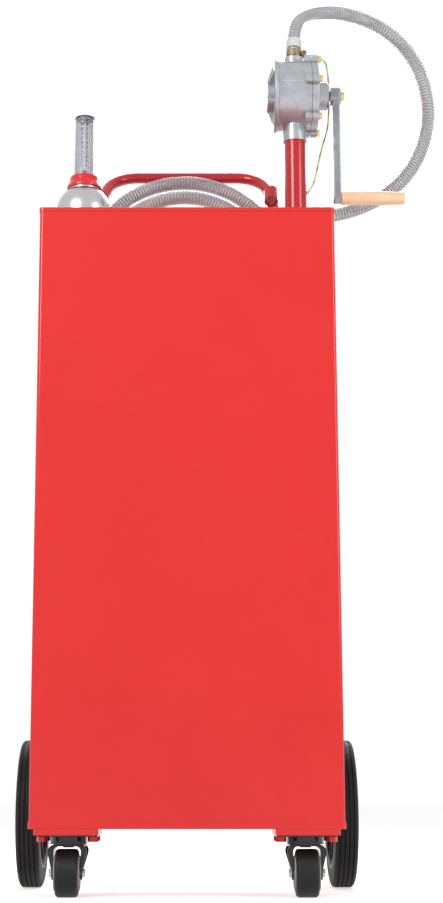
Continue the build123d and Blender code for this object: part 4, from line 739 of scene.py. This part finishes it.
# %% Welds
leg_x, leg_edge, weld_back = 160, 5.6, 260.2
weld_spans = ((1012, 1042), (1082, 1112))
for way, word in ((-1, "left"), (1, "right")):
    for number, (low, high) in enumerate(weld_spans):
        for edge_way in (-1, 1):
            x = way * leg_x + edge_way * leg_edge
            name = f"handle_weld_{word}_{number}_{'in' if edge_way * way < 0 else 'out'}"
            bead_line(name, (x, weld_back, low), (x, weld_back, high), 1.9, 0.35, red_paint,
                      steps=40)

weld_radius, weld_bead, weld_lift = 30.4, 1.5, 0.6
round_riser = np.linspace(0, 2 * pi, 96, endpoint=False)[:, None, None]
round_bead = np.linspace(0, 2 * pi, 10, endpoint=False)[None, :, None]
swell = weld_bead + 0.3 * np.sin(round_riser * 30)
out = weld_radius + swell * np.cos(round_bead)
weld = np.concatenate([riser_x + out * np.cos(round_riser), tank_middle + out * np.sin(round_riser),
                       lid_height + weld_lift + swell * np.sin(round_bead)], -1)
weld[..., 2] = np.maximum(weld[..., 2], lid_height + 0.05)
add_piece("riser_weld", grid_mesh("riser_weld", at(weld), True), red_paint, sharp=80)

# %% [markdown]
# The caddy stands on a pale floor in soft light. The world is white to the camera and in reflections,
# and dimmer as a source of light, so the red keeps its colour. The floor glows a little for the same
# rays and keeps the shadow. Three large lamps give the soft highlights on the riser and the dome.

# %% Floor, world and lamps
def white_to_camera(tree):
    """1 for rays from the camera, and for mirrored and refracted ones, otherwise 0."""
    rays = tree.nodes.new("ShaderNodeLightPath")
    total = rays.outputs["Is Camera Ray"]
    for name in ("Is Glossy Ray", "Is Transmission Ray"):
        most = tree.nodes.new("ShaderNodeMath")
        most.operation = "MAXIMUM"
        tree.links.new(total, most.inputs[0])
        tree.links.new(rays.outputs[name], most.inputs[1])
        total = most.outputs[0]
    return total


floor_finish, floor_shader = new_finish("pale_floor", (0.86, 0.86, 0.86), 0.8)
floor_shader.inputs["Specular IOR Level"].default_value = 0.1
floor_shader.inputs["Emission Color"].default_value = (1, 1, 1, 1)
tree = floor_finish.node_tree
floor_glow, sky_light = 0.56, 0.42
glow = node(floor_finish, "Math", {0: white_to_camera(tree), 1: floor_glow}, operation="MULTIPLY")
tree.links.new(glow, floor_shader.inputs["Emission Strength"])
floor_grid = np.array([[[x, y, 0.0] for x in (-14.0, 14.0)] for y in (30.0, -8.0)])
floor_mesh = grid_mesh("floor", floor_grid, False, False)
floor_mesh.materials.append(floor_finish)
floor = bpy.data.objects.new("floor", floor_mesh)
bpy.context.scene.collection.objects.link(floor)

world = bpy.data.worlds.new("studio")
world.use_nodes = True
bpy.context.scene.world = world
tree = world.node_tree
sky = tree.nodes["Background"]
sky.inputs["Color"].default_value = (1, 1, 1, 1)
mix = tree.nodes.new("ShaderNodeMapRange")
mix.inputs["To Min"].default_value = sky_light
mix.inputs["To Max"].default_value = 1.0
tree.links.new(white_to_camera(tree), mix.inputs["Value"])
tree.links.new(mix.outputs["Result"], sky.inputs["Strength"])


def softbox(name, location, target, size, watts):
    """Area lamp of a given width and height that faces a point of the caddy."""
    lamp = bpy.data.lights.new(name, "AREA")
    lamp.shape = "RECTANGLE"
    lamp.size, lamp.size_y = size
    lamp.energy = watts
    holder = bpy.data.objects.new(name, lamp)
    holder.location = location
    holder.rotation_euler = (Vector(target) - Vector(location)).to_track_quat("-Z", "Y").to_euler()
    bpy.context.scene.collection.objects.link(holder)


softbox("key", (-1.9, -2.9, 2.4), (0, 0, 0.8), (1.4, 1.4), 58)
softbox("fill", (2.5, -2.2, 1.6), (0, 0, 0.9), (1.0, 1.8), 35)
softbox("back", (0.4, 2.4, 2.8), (0, 0, 0.9), (2.0, 1.2), 75)
bpy.context.scene.view_settings.view_transform = "Standard"
print("floor, world and three lamps")
